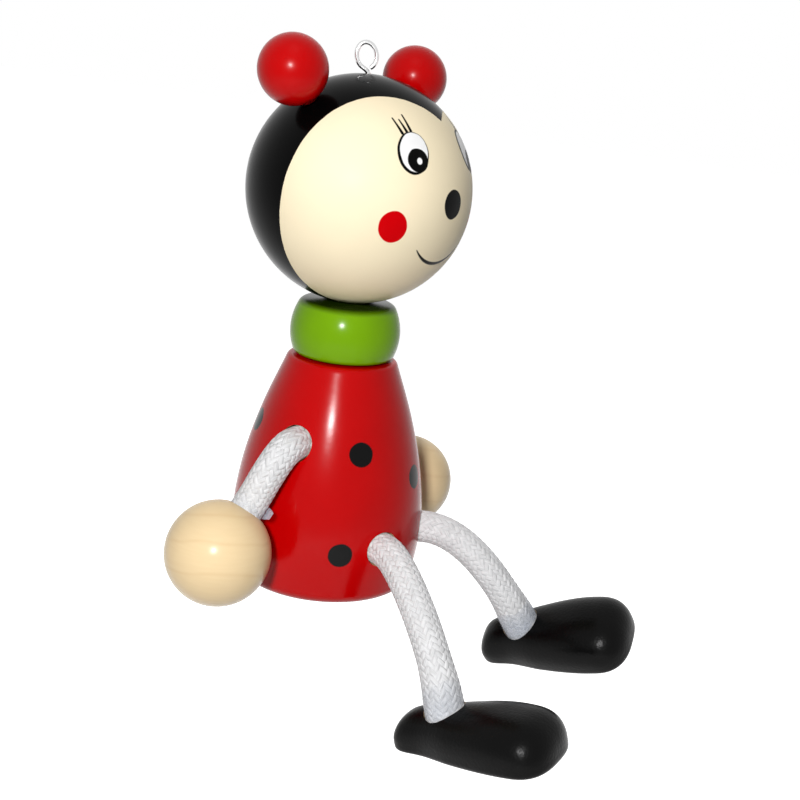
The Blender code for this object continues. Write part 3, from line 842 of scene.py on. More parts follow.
class Face:
    """Masks of the face's paint on a head finish, in the face's own millimetres."""

    def __init__(self, finish):
        centred = finish.shift(finish.place(), tuple(head_centre()))
        self.across, self.back, self.up = (finish.along(centred, tuple(axis / MM))
                                           for axis in head_axes())
        self.aside = abs(self.across)
        self.wobble = 0.2 * (finish.noise(finish.place(), scale=420.0, detail=1.0) - 0.5)

    def oval(self, centre, halves, up=UPRIGHT, side=None):
        """An ellipse in the plane that touches the head at its centre, with a hand's small wobble.

        It is on one side, -1 or 1, or mirrored on both.
        """
        front = unit(centre)
        up = unit(np.array(up) - front * np.dot(front, up))
        sideways = self.aside if side is None else self.across * side

        def share(axis, half):
            """How far the surface is from the centre along an axis, in half axes."""
            reach = sideways * float(axis[0]) + self.back * float(axis[1]) + self.up * float(axis[2])
            return (reach - float(np.dot(axis, centre))) / half

        a = share(np.cross(up, front), halves[0])
        b = share(up, halves[1])
        rim = ((a * a + b * b).root() - 1.0) * min(halves) + self.wobble
        return inside(rim, PAINT_EDGE) * inside(-OVAL_DEPTH - share(front, 1.0), 1.0)

    def eyes(self, part):
        """One part of both eyes."""
        return any_of(*(self.oval(*EYES[side][part], EYE_UP, side) for side in EYES))

    def stroke(self, start, end, halves):
        """A straight tapered stroke; the distance is to the nearest point of its middle line."""
        way = np.subtract(end, start)
        x, y, z = self.aside - start[0], self.back - start[1], self.up - start[2]
        wx, wy, wz = (float(part) for part in way)
        share = ((x * wx + y * wy + z * wz) / float(np.dot(way, way))).clamped()
        x, y, z = x - share * wx, y - share * wy, z - share * wz
        width = halves[0] + share * (halves[1] - halves[0])
        return inside((x * x + y * y + z * z).root() - width, PAINT_EDGE)

    def smile(self):
        """The low part of a circle seen from the front, thinner toward its ends."""
        x = self.across - SMILE_CENTRE[0]
        z = self.up - SMILE_CENTRE[1]
        ring = abs((x * x + z * z).root() - SMILE_RADIUS)
        depth = (SMILE_END_HEIGHT - self.up) / (SMILE_END_HEIGHT - SMILE_CENTRE[1] + SMILE_RADIUS)
        width = SMILE_HALF_WIDTH * (0.35 + 0.9 * depth)
        line = inside(ring - width, PAINT_EDGE)
        return line * inside(self.up - SMILE_END_HEIGHT, 0.3) * inside(self.back, 1.0)

    def hood(self):
        """All behind an edge whose place is a quadratic of the way aside and the height."""
        aside = abs(self.across - HOOD_MIDDLE)
        still, by_aside, by_up, by_up_twice, by_both = HOOD_EDGE
        edge = still + by_aside * aside + self.up * (by_up + by_up_twice * self.up + by_both * aside)
        return inside(edge - self.back + self.wobble, PAINT_EDGE)


def head_finish():
    """Cream satin paint with a drawn face, and a glossy black hood."""
    paints = settings().paints
    finish = Finish("painted_head", Specular_IOR_Level=0.045)
    place = finish.place()
    face = Face(finish)
    hood = face.hood()
    lashes = (face.stroke(start, end, LASH_HALF_WIDTHS) for start, end in LASHES)
    black = any_of(hood, face.smile(), *lashes, face.eyes("line"), face.oval(*NOSE, side=1.0))
    cream = finish.tones(finish.noise(place, scale=70.0, detail=3.0), paints.cream, 0.95, 1.03)
    painted = finish.mix(face.oval(*CHEEK, CHEEK_UP), cream, paints.cheek)
    painted = finish.mix(black, painted, paints.black)
    for part, colour in (("white", paints.white), ("pupil", paints.black), ("glint", paints.white)):
        painted = finish.mix(face.eyes(part), painted, colour)
    finish.set("Base Color", painted)
    finish.relief(0.3 * finish.noise(place, scale=380.0, detail=1.0) + 0.5 * black, 0.03 * MM)
    finish.set("Roughness", (0.36 - 0.18 * hood) * finish.uneven(place, 0.3))
    return finish.material


def head_profile():
    """Outline of the head ball about Z: the neck's hole, its rim and the ball."""
    turning = settings().turning
    radius = turning.head_radius
    hole = turning.dowel_hole
    rim = math.asin(hole / radius)
    ceiling = -radius + turning.dowel_in_head
    ball = dome((0.0, 0.0), radius, rim - math.pi / 2, count=132)
    return np.vstack([[(0.0, ceiling), (hole, ceiling)], ball])


def ear_profile():
    """Outline of an ear about its dowel, from the head's centre: dowel hole, lacquer bead and ball."""
    turning = settings().turning
    clear = 0.02 * MM
    head, ear, bead = turning.head_radius + clear, turning.ear_radius, turning.ear_fillet
    reach = turning.head_radius + GAP + ear
    z = ((head + bead) ** 2 - (ear + bead) ** 2 + reach ** 2) / (2 * reach)
    x = math.sqrt((head + bead) ** 2 - z * z)
    onto_head = math.atan2(-z, -x)
    onto_ear = math.atan2(reach - z, -x)
    hole = turning.ear_hole
    floor = turning.head_radius + GAP / 2 + turning.ear_hole_depth
    foot = arc((0.0, 0.0), head, math.acos(hole / head), math.atan2(z, x), count=8)
    fillet = arc((x, z), bead, onto_head + 2 * math.pi, onto_ear, count=12)[1:]
    ball = dome((0.0, reach), ear, onto_ear - math.pi, count=90)[1:]
    return np.vstack([[(0.0, floor), (hole, floor)], foot, fillet, ball])


class DOLL_OT_head(bpy.types.Operator):
    """Turn the head, drill it and paint its face and hood"""
    bl_idname = "doll.head"
    bl_label = "Head"

    def execute(self, context):
        turning = settings().turning
        centre = head_centre()
        points, faces = turned(head_profile(), sides=256)
        obj = add_piece("painted_head", points + centre, faces, [head_finish(), bare_wood()])
        bores = []
        for _, sign in SIDES:
            out = ear_direction(sign)
            bores.append((centre + out * turning.head_radius, -out, turning.ear_hole_depth,
                          turning.ear_hole))
        drill(obj, bores)
        dress(obj, "torso", "painted_head", "head")
        return {"FINISHED"}


class DOLL_OT_ears(bpy.types.Operator):
    """Turn the two red ear balls"""
    bl_idname = "doll.ears"
    bl_label = "Ears"

    def execute(self, context):
        finish = lacquer("red_lacquer", settings().paints.red, roughness=0.24, gloss=0.12)
        for side, sign in SIDES:
            points, faces = turned(ear_profile(), sides=96)
            points = aimed(points, ear_direction(sign), head_centre())
            obj = add_piece(side + "_ear_ball", points, faces, [finish])
            dress(obj, "torso", "red_lacquer", side + "_ear")
        return {"FINISHED"}


# Screw eye

THREAD_STEP = 0.06 * MM
# How far the wire's two ends are rounded, and the share of its radius that is left at the point.
WIRE_TAIL_ROUND = 0.12 * MM
WIRE_POINT_ROUND = 0.1 * MM
WIRE_POINT_SHARE = 0.25


def eye_line():
    """Middle line of the wire, its level normal and how far each station is down the threaded shank.

    The ring is part of an ellipse, a cubic curve brings the wire to the shank's axis, and the shank
    is straight.
    """
    wire = settings().wire
    level = np.array((math.cos(wire.turn), math.sin(wire.turn), 0.0))
    upright = np.array(UPRIGHT)
    up = upright * math.cos(wire.lean) + level * math.sin(wire.lean)
    across = level * math.cos(wire.lean) - upright * math.sin(wire.lean)
    crown = head_centre() + upright * settings().turning.head_radius + level * wire.offset
    turn = np.linspace(wire.tail_turn, wire.neck_turn, 120)[:, None]
    ring = (crown + up * wire.rise + across * np.cos(turn) * wire.ring_radius
            + up * np.sin(turn) * wire.ring_half_height)
    foot = crown - up * wire.neck_sink
    t = np.linspace(0.0, 1.0, 24)[1:, None]
    leave = ring[-1] + unit(ring[-1] - ring[-2]) * wire.neck_bend
    arrive = foot + up * wire.neck_bend
    neck = (ring[-1] * (1 - t) ** 3 + leave * 3 * t * (1 - t) ** 2 + arrive * 3 * t * t * (1 - t)
            + foot * t ** 3)
    depth = np.arange(THREAD_STEP, wire.shank, THREAD_STEP)
    line = np.vstack([ring, neck, foot - up * depth[:, None]])
    down = np.concatenate([np.zeros(len(ring) + len(neck)), depth])
    return line, np.cross(level, upright), down


def eye_surface():
    """Round wire along its middle line.

    On the shank the thread adds to the wire's radius a cosine of the turn round the wire less the
    turns that the depth makes at the thread's pitch, and the point tapers.
    """
    wire = settings().wire
    line, normal, down = eye_line()
    ahead = unit(np.gradient(line, axis=0))
    beside = unit(np.cross(normal, ahead))
    turn = full_turn(20)
    ridge = 0.5 + 0.5 * np.cos(turn - 2 * math.pi * down[:, None] / wire.pitch)
    begun = np.clip(down / wire.pitch, 0.0, 1.0)[:, None]
    taper = np.minimum(1.0, (wire.shank - down) / wire.point + WIRE_POINT_SHARE)[:, None]
    radius = (wire.wire_radius + wire.thread * ridge * begun) * taper
    offset = normal * np.cos(turn)[:, None] + beside[:, None, :] * np.sin(turn)[:, None]
    rings = line[:, None, :] + offset * radius[:, :, None]
    return skin(rings, line[0] - ahead[0] * WIRE_TAIL_ROUND, line[-1] + ahead[-1] * WIRE_POINT_ROUND)


def wire_finish():
    """Bright drawn wire, faintly streaked."""
    finish = Finish("bright_wire", Metallic=1.0)
    streak = finish.noise(finish.place(), scale=900.0, detail=3.0)
    finish.set("Base Color", finish.tones(streak, settings().paints.wire, 0.8, 1.0))
    finish.set("Roughness", 0.12 + 0.16 * streak)
    finish.relief(streak, 0.01 * MM)
    return finish.material


class DOLL_OT_screw_eye(bpy.types.Operator):
    """Bend the wire eye and cut its thread"""
    bl_idname = "doll.screw_eye"
    bl_label = "Screw Eye"

    def execute(self, context):
        obj = add_piece("wire_eye", *eye_surface(), [wire_finish()])
        dress(obj, "torso", "bright_wire", "screw_eye")
        return {"FINISHED"}


# Limbs

# Places in millimetres, the ankles counted from their hips, and a shoe's yaw, pitch and roll in
# degrees. The pulls are how strongly a cord's two ends hold their directions, in millimetres.
HAND_CENTRES = {"right": (-34.885, 7.097, -108.245), "left": (35.423, -3.411, -106.745)}
HAND_INTO = {"right": (-0.56, 0.22, -0.80), "left": (0.50, -0.20, -0.84)}
ARM_PULLS = (16.0, 8.0)
ANKLES = {"right": (-14.0, -24.9, -24.9), "left": (10.5, -24.3, -21.2)}
SHOE_TURNS = {"right": (-6.9, 14.5, -6.0), "left": (-1.6, 19.8, -30.5)}
LEG_PULLS = {"right": (20.0, 30.0), "left": (31.0, 30.0)}


def shoe_axes(side):
    """Toe, side and up directions of a shoe from its yaw, pitch and roll."""
    yaw, pitch, roll = (math.radians(turn) for turn in SHOE_TURNS[side])
    toe = np.array(heading(yaw, pitch))
    beside = unit(np.cross(toe, UPRIGHT))
    up = np.cross(beside, toe)
    return (toe, beside * math.cos(roll) + up * math.sin(roll),
            up * math.cos(roll) - beside * math.sin(roll))


def limb_mouth(side, part):
    """Where a cord goes into its hand or shoe, and in which direction."""
    if part == "leg":
        return JOINTS[side + "_hip"] + np.array(ANKLES[side]) * MM, -shoe_axes(side)[2]
    into = unit(HAND_INTO[side])
    hand, hole = settings().turning.hand_radius, settings().cords.mouth_radius
    return np.array(HAND_CENTRES[side]) * MM - into * math.sqrt(hand ** 2 - hole ** 2), into


CURVE_STATIONS = 161
CORD_STATIONS = 600
STRAIGHT_INSIDE = 0.05 * MM


class CordLine:
    """Middle line of a limb's cord, with its distance along and its directions at each station.

    The cord is straight in the torso, follows a cubic curve between the two directions that its ends
    keep, and is straight in the hand or shoe.
    """

    def __init__(self, side, part):
        cords = settings().cords
        root = JOINTS[side + ("_shoulder" if part == "arm" else "_hip")]
        out = outward(root)
        mouth, into = limb_mouth(side, part)
        pulls = ARM_PULLS if part == "arm" else LEG_PULLS[side]
        start = root + out * cords.straight
        end = mouth - into * cords.straight_end
        t = np.linspace(0.0, 1.0, CURVE_STATIONS)[:, None]
        free = (start * (2 * t ** 3 - 3 * t * t + 1) + out * pulls[0] * MM * (t ** 3 - 2 * t * t + t)
                + end * (3 * t * t - 2 * t ** 3) + into * pulls[1] * MM * (t ** 3 - t * t))
        sunk = cords.in_hand if part == "arm" else cords.in_shoe
        in_torso = [root - out * cords.in_torso, root - out * STRAIGHT_INSIDE]
        route = np.vstack([*in_torso, free, mouth, mouth + into * sunk])
        run = run_along(route)
        self.length = run[-1]
        self.root = cords.in_torso
        self.pivot = run[len(in_torso) + CURVE_STATIONS // 2]
        self.mouth = run[-2]
        self.flare = cords.leg_flare if part == "leg" else 0.0
        self.fine = np.linspace(0.0, self.length, CORD_STATIONS)
        self.line = read_off(self.fine, run, route)
        self.ahead = unit(np.gradient(self.line, axis=0))
        flat = np.linalg.svd(free - free.mean(0))[2][2]
        self.beside = unit(flat - self.ahead * (self.ahead @ flat)[:, None])
        self.over = np.cross(self.ahead, self.beside)

    def at(self, distance):
        """Place and directions at distances along the cord."""
        return tuple(read_off(distance, self.fine, rows)
                     for rows in (self.line, self.ahead, self.beside, self.over))

    def radius(self, distance):
        """Outer radius of the braid, which grows on a smooth step toward a shoe."""
        cords = settings().cords
        share = np.clip((distance - self.mouth) / cords.flare_length + 1.0, 0.0, 1.0)
        return cords.radius * (1.0 + self.flare * share * share * (3.0 - 2.0 * share))

    def point(self, distance):
        """One place on the cord."""
        return tuple(self.at(np.array([distance]))[0][0])


STRAND_SIDES = 8
# How far each strand's fibres are moved from the next one's, along it and round it.
FIBRE_SHIFT = (7.3, 1.37)


def braid(line, first, last):
    """Points, faces and strand places of a braid between two distances along a cord.

    Strands wind each way at the same angle, so strand i of the first set is at turn i + v and strand
    j of the second at turn j - v, counted in strand spacings, where v grows along the cord. Each set
    rises and dips as a cosine of i + j with a period of four crossings, so every strand goes over two
    and under two. A strand's section is an ellipse, flat on the cord.
    """
    cords = settings().cords
    count, sides = cords.strands, STRAND_SIDES
    run = np.linspace(first, last, max(3, int((last - first) / cords.step)))
    middle = line.radius(run) - cords.weave - cords.strand_half_thickness
    place, ahead, beside, over = (rows[None] for rows in line.at(run))
    v = run * math.tan(cords.lay) / cords.radius * count / (2 * math.pi)
    number = np.arange(count)[:, None]
    section = 2 * math.pi * (np.arange(sides) - 0.5) / sides
    all_points, all_uv = [], []
    for way in (1.0, -1.0):
        turn = 2 * math.pi / count * (number + way * v)
        crossing = 2 * number + way * 2 * v
        rise = way * cords.weave * np.cos(2 * math.pi * (crossing - 0.5) / 4)
        out = beside * np.cos(turn)[:, :, None] + over * np.sin(turn)[:, :, None]
        round_ = over * np.cos(turn)[:, :, None] - beside * np.sin(turn)[:, :, None]
        centre = place + out * (middle + rise)[:, :, None]
        direction = ahead * math.cos(cords.lay) + round_ * way * math.sin(cords.lay)
        across = np.cross(out, direction)
        wide = (cords.strand_half_width * np.cos(section))[:, None]
        thick = (cords.strand_half_thickness * np.sin(section))[:, None]
        points = centre[:, :, None] + across[:, :, None] * wide + out[:, :, None] * thick
        all_points.append(points)
        along = (run / MM)[None, :, None] + FIBRE_SHIFT[0] * number[:, :, None]
        around = np.arange(sides) / sides + FIBRE_SHIFT[1] * way
        all_uv.append(np.stack([np.broadcast_to(uv, points.shape[:3]) for uv in (along, around)], -1))
    points = np.concatenate(all_points)
    strands, stations = points.shape[:2]
    index = np.arange(strands * stations * sides).reshape(strands, stations, sides)
    low, high = index[:, :-1], index[:, 1:]
    walls = np.stack([low, np.roll(low, -1, 2), np.roll(high, -1, 2), high], -1).reshape(-1, 4)
    caps = np.concatenate([index[:, 0, ::-1], index[:, -1]])
    return points.reshape(-1, 3), [walls, caps], np.concatenate(all_uv).reshape(-1, 2)


CORE_STEP = 0.5 * MM
CORE_SINK = 0.6


def core(line, first, last):
    """The plain round core inside a braid: circles whose radius ends within the lowest strands."""
    cords = settings().cords
    run = np.linspace(first, last, max(3, int((last - first) / CORE_STEP)))
    place, _, beside, over = line.at(run)
    turn = full_turn(40)[:, None]
    radius = line.radius(run) - 2 * cords.weave - CORE_SINK * cords.strand_half_thickness
    radius = radius[:, None, None]
    rings = place[:, None] + radius * (beside[:, None] * np.cos(turn) + over[:, None] * np.sin(turn))
    return skin(rings, place[0], place[-1])


def joined(*surfaces):
    """Several surfaces as one list of points and one list of face arrays."""
    points, faces, total = [], [], 0
    for some_points, some_faces in surfaces:
        points.append(some_points)
        faces.extend(face + total for face in some_faces)
        total += len(some_points)
    return np.vstack(points), faces


def cord_finish():
    """White braid: each strand is a bundle of fine fibres that catch the light along its length."""
    finish = Finish("white_cord", Specular_IOR_Level=0.25)
    strand = finish.strand()
    fibres = finish.noise(finish.stretched(strand, (0.35, 14.0, 1.0)), scale=1.0, detail=2.0)
    bundle = finish.noise(finish.stretched(strand, (0.5, 1.0, 1.0)), scale=0.8, detail=2.0)
    shade = (2.4 * (0.55 * fibres + 0.45 * bundle - 0.5) + 0.6).clamped()
    finish.set("Base Color", finish.tones(shade, settings().paints.cord, 0.66, 1.10))
    finish.set("Roughness", 0.5 + 0.3 * fibres)
    finish.relief(fibres, 0.08 * MM)
    return finish.material


CORD_BODIES = {"arm": ("upper_arm", "forearm"), "leg": ("thigh", "foot")}
# A cord's two lengths meet about halfway from its root to its bend. The places where the first would
# turn, from just inside its hole to before that seam, and the second, from after the seam to past the
# bend, are read off, but nothing here bends a cord. The first three shares are of the way from root to
# bend, the last one is of the way on to the cord's straight end.
FIRST_TURN_SINK = 0.6 * MM
FIRST_TURN_END = 0.46
CORD_SEAM = 0.52
SECOND_TURN_START = 0.58
SECOND_TURN_END = 0.55
# Which of a cord's lists of faces are the flat ends of its strands and core.
FLAT_ENDS = (1, 3, 4)


class DOLL_OT_cords(bpy.types.Operator):
    """Braid the cords of the arms and legs, each in two lengths"""
    bl_idname = "doll.cords"
    bl_label = "Cords"

    def execute(self, context):
        finish = cord_finish()
        for side, _ in SIDES:
            for part, bodies in CORD_BODIES.items():
                upper, lower = (side + "_" + body for body in bodies)
                line = CordLine(side, part)
                half = line.pivot - line.root
                rest = line.mouth - settings().cords.straight_end - line.pivot
                seam = line.root + CORD_SEAM * half
                cord_lengths = (("upper", 0.0, seam, "torso", upper, line.root - FIRST_TURN_SINK,
                                 line.root + FIRST_TURN_END * half),
                                ("lower", seam, line.length, upper, lower,
                                 line.root + SECOND_TURN_START * half, line.pivot + SECOND_TURN_END * rest))
                for name, first, last, near, far, bend_from, bend_to in cord_lengths:
                    points, faces, uv = braid(line, first, last)
                    inner = core(line, first, last)
                    uv = np.vstack([uv, np.zeros((len(inner[0]), 2))])
                    points, faces = joined((points, faces), inner)
                    obj = add_piece(f"{side}_{name}_{part}_braid", points, faces, [finish], uv, FLAT_ENDS)
                    line.point(bend_from)
                    line.point(bend_to)
                    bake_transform(obj)
                    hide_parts(f"{side}_{name}_{part}_cord")
        return {"FINISHED"}


def wood_finish():
    """Clear-varnished pale wood: fine growth lines across and short fibres along the grain."""
    paints = settings().paints
    finish = Finish("clear_wood", Specular_IOR_Level=0.15)
    place = finish.place()
    drift = finish.noise(place, scale=45.0, detail=2.0)
    level = finish.along(place, (0.16 / MM, 0.1 / MM, 0.9 / MM)) + 5.0 * drift
    lines = (level * 1.15).math("SINE") * 0.5 + 0.5
    fibre = finish.noise(finish.stretched(place, (160.0, 160.0, 1500.0)), scale=1.0, detail=3.0)
    shade = (0.28 * lines ** 24.0 + 0.34 * fibre).clamped()
    finish.set("Base Color", finish.mix(shade, paints.wood, paints.grain))
    varnish(finish, place, roughness=0.24)
    return finish.material


def hand_profile():
    """Outline of a hand ball about the cord's way in: the cord's hole, its softened rim and the ball."""
    radius, depth = settings().turning.hand_radius, settings().turning.hand_hole_depth
    hole = settings().cords.hand_hole
    soft = 0.35 * MM
    reach = math.sqrt((radius - soft) ** 2 - (hole + soft) ** 2)
    rim = math.asin((hole + soft) / (radius - soft))
    mouth = -math.sqrt(radius ** 2 - hole ** 2)
    edge = arc((hole + soft, -reach), soft, -math.pi, rim - math.pi / 2, count=8)
    ball = dome((0.0, 0.0), radius, rim - math.pi / 2, count=110)[1:]
    return np.vstack([[(0.0, mouth + depth), (hole, mouth + depth)], edge, ball])


class DOLL_OT_hands(bpy.types.Operator):
    """Turn the two wooden hands"""
    bl_idname = "doll.hands"
    bl_label = "Hands"

    def execute(self, context):
        finish = wood_finish()
        for side, _ in SIDES:
            points, faces = turned(hand_profile(), sides=144)
            points = aimed(points, HAND_INTO[side], np.array(HAND_CENTRES[side]) * MM)
            obj = add_piece(side + "_hand_ball", points, faces, [finish])
            dress(obj, side + "_forearm", "clear_wood", side + "_hand")
        return {"FINISHED"}


# Where along the shoe its widths and heights are given, as shares of its length, the shares that its
# closing heel and toe take up, and the powers of its superellipses: at heel and toe, then at a
# section's sides, top and sole.
SHOE_WIDTH_SHARES = (0.0, 0.2, 0.42, 0.72, 1.0)
SHOE_HEIGHT_SHARES = (0.0, 0.15, 0.38, 0.70, 1.0)
SHOE_CAPS = (0.18, 0.19)
SHOE_PLAN_ROUNDING = (3.8, 2.5)
SHOE_TOP_ROUNDING = (2.0, 2.6)
SHOE_SOLE_ROUNDING = (5.0, 4.2)
SHOE_SECTION_ROUNDING = (2.4, 2.1, 6.0)
SHOE_WAIST_SHARE = 0.30


def shoe_surface():
    """Shoe with its heel at x = 0, its toe along +X and its flat sole at z = 0.

    Each section is a superellipse about a waist line: its half width, its height above the waist and
    its depth below follow smooth curves along the shoe, and close like superellipses at heel and toe.
    """
    shoes = settings().shoes
    heel, toe = SHOE_CAPS
    ease = np.linspace(0.02, 1.0, 34) ** 1.8 * math.pi / 2
    share = np.concatenate([heel * (1 - np.cos(ease)), np.linspace(heel, 1 - toe, 60)[1:-1],
                            1 - toe * (1 - np.cos(ease[::-1]))])

    def closing(powers):
        """How far the shoe has opened at each station, from 0 at its heel and toe to 1 between."""
        back = np.clip((heel - share) / heel, 0, 1)
        front = np.clip((share - 1 + toe) / toe, 0, 1)
        return ((1 - back ** powers[0]) ** (1 / powers[0])
                * (1 - front ** powers[1]) ** (1 / powers[1]))

    width = smooth_through(SHOE_WIDTH_SHARES, shoes.half_widths, share) * closing(SHOE_PLAN_ROUNDING)
    height = smooth_through(SHOE_HEIGHT_SHARES, shoes.heights, share)
    waist = SHOE_WAIST_SHARE * height
    top = (height - waist) * closing(SHOE_TOP_ROUNDING)
    bottom = waist * closing(SHOE_SOLE_ROUNDING)
    side_power, top_power, sole_power = (2 / power for power in SHOE_SECTION_ROUNDING)

    def section(turn):
        """Share of the half width, of the height above the waist and of the depth below it."""
        c, n = np.cos(turn), np.sin(turn)
        return (np.sign(c) * np.abs(c) ** side_power, np.clip(n, 0, 1) ** top_power,
                np.clip(-n, 0, 1) ** sole_power)

    dense = np.linspace(0.0, 2 * math.pi, 20001)
    y, rise, fall = section(dense)
    middle = len(share) // 2
    outline = np.stack([y * width[middle], rise * top[middle] - fall * bottom[middle]], -1)
    run = run_along(outline)
    turn = np.interp(np.linspace(0.0, run[-1], 121)[:-1], run, dense)
    y, rise, fall = section(turn)
    rings = np.stack([np.repeat(share[:, None] * shoes.length, len(turn), 1), width[:, None] * y,
                      waist[:, None] + top[:, None] * rise - bottom[:, None] * fall], -1)
    return skin(rings, (0.0, 0.0, waist[0]), (shoes.length, 0.0, waist[-1]))


class DOLL_OT_shoes(bpy.types.Operator):
    """Carve the two black shoes"""
    bl_idname = "doll.shoes"
    bl_label = "Shoes"

    def execute(self, context):
        shoes = settings().shoes
        finish = lacquer("black_lacquer", settings().paints.black, roughness=0.3, gloss=0.09,
                         ripple=0.05 * MM, ripple_scale=1700.0)
        share = shoes.hole_from_heel / shoes.length
        instep = float(smooth_through(SHOE_HEIGHT_SHARES, shoes.heights, share)) - shoes.hole_sink
        for side, _ in SIDES:
            toe, beside, up = shoe_axes(side)
            mouth, into = limb_mouth(side, "leg")
            heel = mouth - toe * shoes.hole_from_heel - up * instep
            points, faces = shoe_surface()
            points = points @ np.array((toe, -beside, up)) + heel
            obj = add_piece(side + "_black_shoe", points, faces, [finish, bare_wood()])
            drill(obj, [(mouth, into, shoes.hole_depth, settings().cords.shoe_hole)])
            dress(obj, side + "_foot", "black_lacquer", side + "_shoe")
        return {"FINISHED"}


# How milky each tape is, and the way that a loose end stands off, with its size in millimetres.
TAPE_VEILS = {("right", "arm"): 0.08, ("left", "arm"): 0.08,
              ("right", "leg"): 0.12, ("left", "leg"): 0.24}
TAPE_LIFT = 0.05 * MM
TAPE_EDGE_WAVES = (0.3 * MM, 0.12 * MM)
FREE_TAPE_ENDS = {("right", "arm"): (0.26, -0.815, -0.506)}
FREE_END_SIZE = (2.7, 2.9)
FREE_END_LIFT = math.radians(38)
FREE_END_CURL = 0.35 * MM
FREE_END_AMOUNT = 5.0


def tape_sleeve(line, shown, seed):
    """A wound sleeve that runs along a cord from outside its hole to inside it.

    It lies on the braid. Its outer edge is uneven and lifts a little with the turn. The third value is
    how much tape there is at each point, less toward that edge.
    """
    cords = settings().cords
    turn = full_turn(96)
    share = np.linspace(0.0, 1.0, 28)[:, None]
    slow, quick = TAPE_EDGE_WAVES
    edge = slow * np.sin(2 * turn + seed) + quick * np.sin(5 * turn + 2.1 * seed)
    run = line.mouth - shown + edge * (1 - share) + (shown + cords.tape_in) * share
    lift = TAPE_LIFT * (1 - share) ** 2 * (1 + np.sin(3 * turn + seed))
    inner = line.radius(run) + cords.tape_gap + lift
    place, _, beside, over = line.at(run)
    out = beside * np.cos(turn)[:, None] + over * np.sin(turn)[:, None]
    layers = [place + out * radius[:, :, None] for radius in (inner + cords.tape_thickness, inner)]
    amount = np.broadcast_to(np.minimum(1.0, 0.3 + 2.0 * share), inner.shape)
    amount = np.concatenate([amount, amount[::-1]]).ravel()
    return (*skin(np.vstack([layers[0], layers[1][::-1]]), loop=True), amount)


def tape_free_end(line, toward):
    """A loose end of tape: a thin sheet that leaves the sleeve at an angle and narrows as it goes."""
    cords = settings().cords
    out_size, along_size = (size * MM for size in FREE_END_SIZE)
    place, ahead, _, _ = (rows[0] for rows in line.at(np.array([line.mouth - 0.7 * along_size])))
    out = unit(np.array(toward) - ahead * np.dot(ahead, toward))
    way = out * math.sin(FREE_END_LIFT) + np.cross(ahead, out) * math.cos(FREE_END_LIFT)
    normal = np.cross(ahead, way)
    u = np.linspace(0.0, 1.0, 12)[:, None]
    root = place + out * (line.radius(line.mouth) + cords.tape_gap + cords.tape_thickness)
    middle = root + way * out_size * u + normal * FREE_END_CURL * np.sin(2.2 * u)
    turn = full_turn(24)
    half = (0.5 * along_size * (1.0 - 0.45 * u * u))[:, :, None]
    rings = (middle[:, None] + ahead * half * np.cos(turn)[:, None]
             + normal * (0.5 * cords.tape_thickness) * np.sin(turn)[:, None])
    points, faces = skin(rings, middle[0], middle[-1])
    return points, faces, np.full(len(points), FREE_END_AMOUNT)


def tape_finish(name, veil):
    """Clear tape gone a little milky: see-through, glossy and faintly creased."""
    finish = Finish(name, Specular_IOR_Level=0.5)
    crease = finish.noise(finish.stretched(finish.place(), (700.0, 700.0, 260.0)), scale=1.0, detail=2.0)
    finish.set("Base Color", finish.tones(crease, settings().paints.tape, 0.9, 1.3))
    amount = finish.along(finish.strand(), (1.0, 0.0, 0.0))
    finish.set("Alpha", (veil * amount * (0.5 + crease)).clamped())
    finish.set("Roughness", 0.16 + 0.2 * crease)
    finish.relief(crease, 0.05 * MM)
    return finish.material


class DOLL_OT_tapes(bpy.types.Operator):
    """Wind tape round the cords' ends"""
    bl_idname = "doll.tapes"
    bl_label = "Tapes"

    def execute(self, context):
        cords = settings().cords
        limbs = (("arm", "forearm", cords.arm_tape), ("leg", "foot", cords.leg_tape))
        for number, (part, body, shown) in enumerate(limbs):
            for side, sign in SIDES:
                line = CordLine(side, part)
                surfaces = [tape_sleeve(line, shown, 1.3 + number + sign)]
                if (side, part) in FREE_TAPE_ENDS:
                    surfaces.append(tape_free_end(line, FREE_TAPE_ENDS[side, part]))
                points, faces = joined(*(surface[:2] for surface in surfaces))
                amount = np.concatenate([surface[2] for surface in surfaces])
                finish = tape_finish(f"clear_{side}_{part}_tape", TAPE_VEILS[side, part])
                obj = add_piece(f"{side}_{part}_tape_wrap", points, faces, [finish],
                                np.stack([amount, amount], -1))
                dress(obj, f"{side}_{body}", "clear_tape", f"{side}_{part}_tape")
        return {"FINISHED"}


class DOLL_OT_dowels(bpy.types.Operator):
    """Give the neck and ear dowels their bare wood"""
    bl_idname = "doll.dowels"
    bl_label = "Dowels"

    def execute(self, context):
        for name in ("neck_dowel", "right_ear_dowel", "left_ear_dowel"):
            node = frame["nodes"][name]
            node.data.materials.clear()
            node.data.materials.append(bare_wood())
        return {"FINISHED"}


# Stage

# The camera's sensor in millimetres, and the nearest that it sees and half the floor's side in metres.
SENSOR_WIDTH = 36.0
NEAREST_SEEN = 0.01
FLOOR_HALF = 3.0
FLOOR_LIT = (0.4, 0.4, 0.4)
FLOOR_SEEN = (0.9, 0.9, 0.9)
FLOOR_GLOW = 0.98
UNLIT = (0.0, 0.0, 0.0)
WHITE = (1.0, 1.0, 1.0)


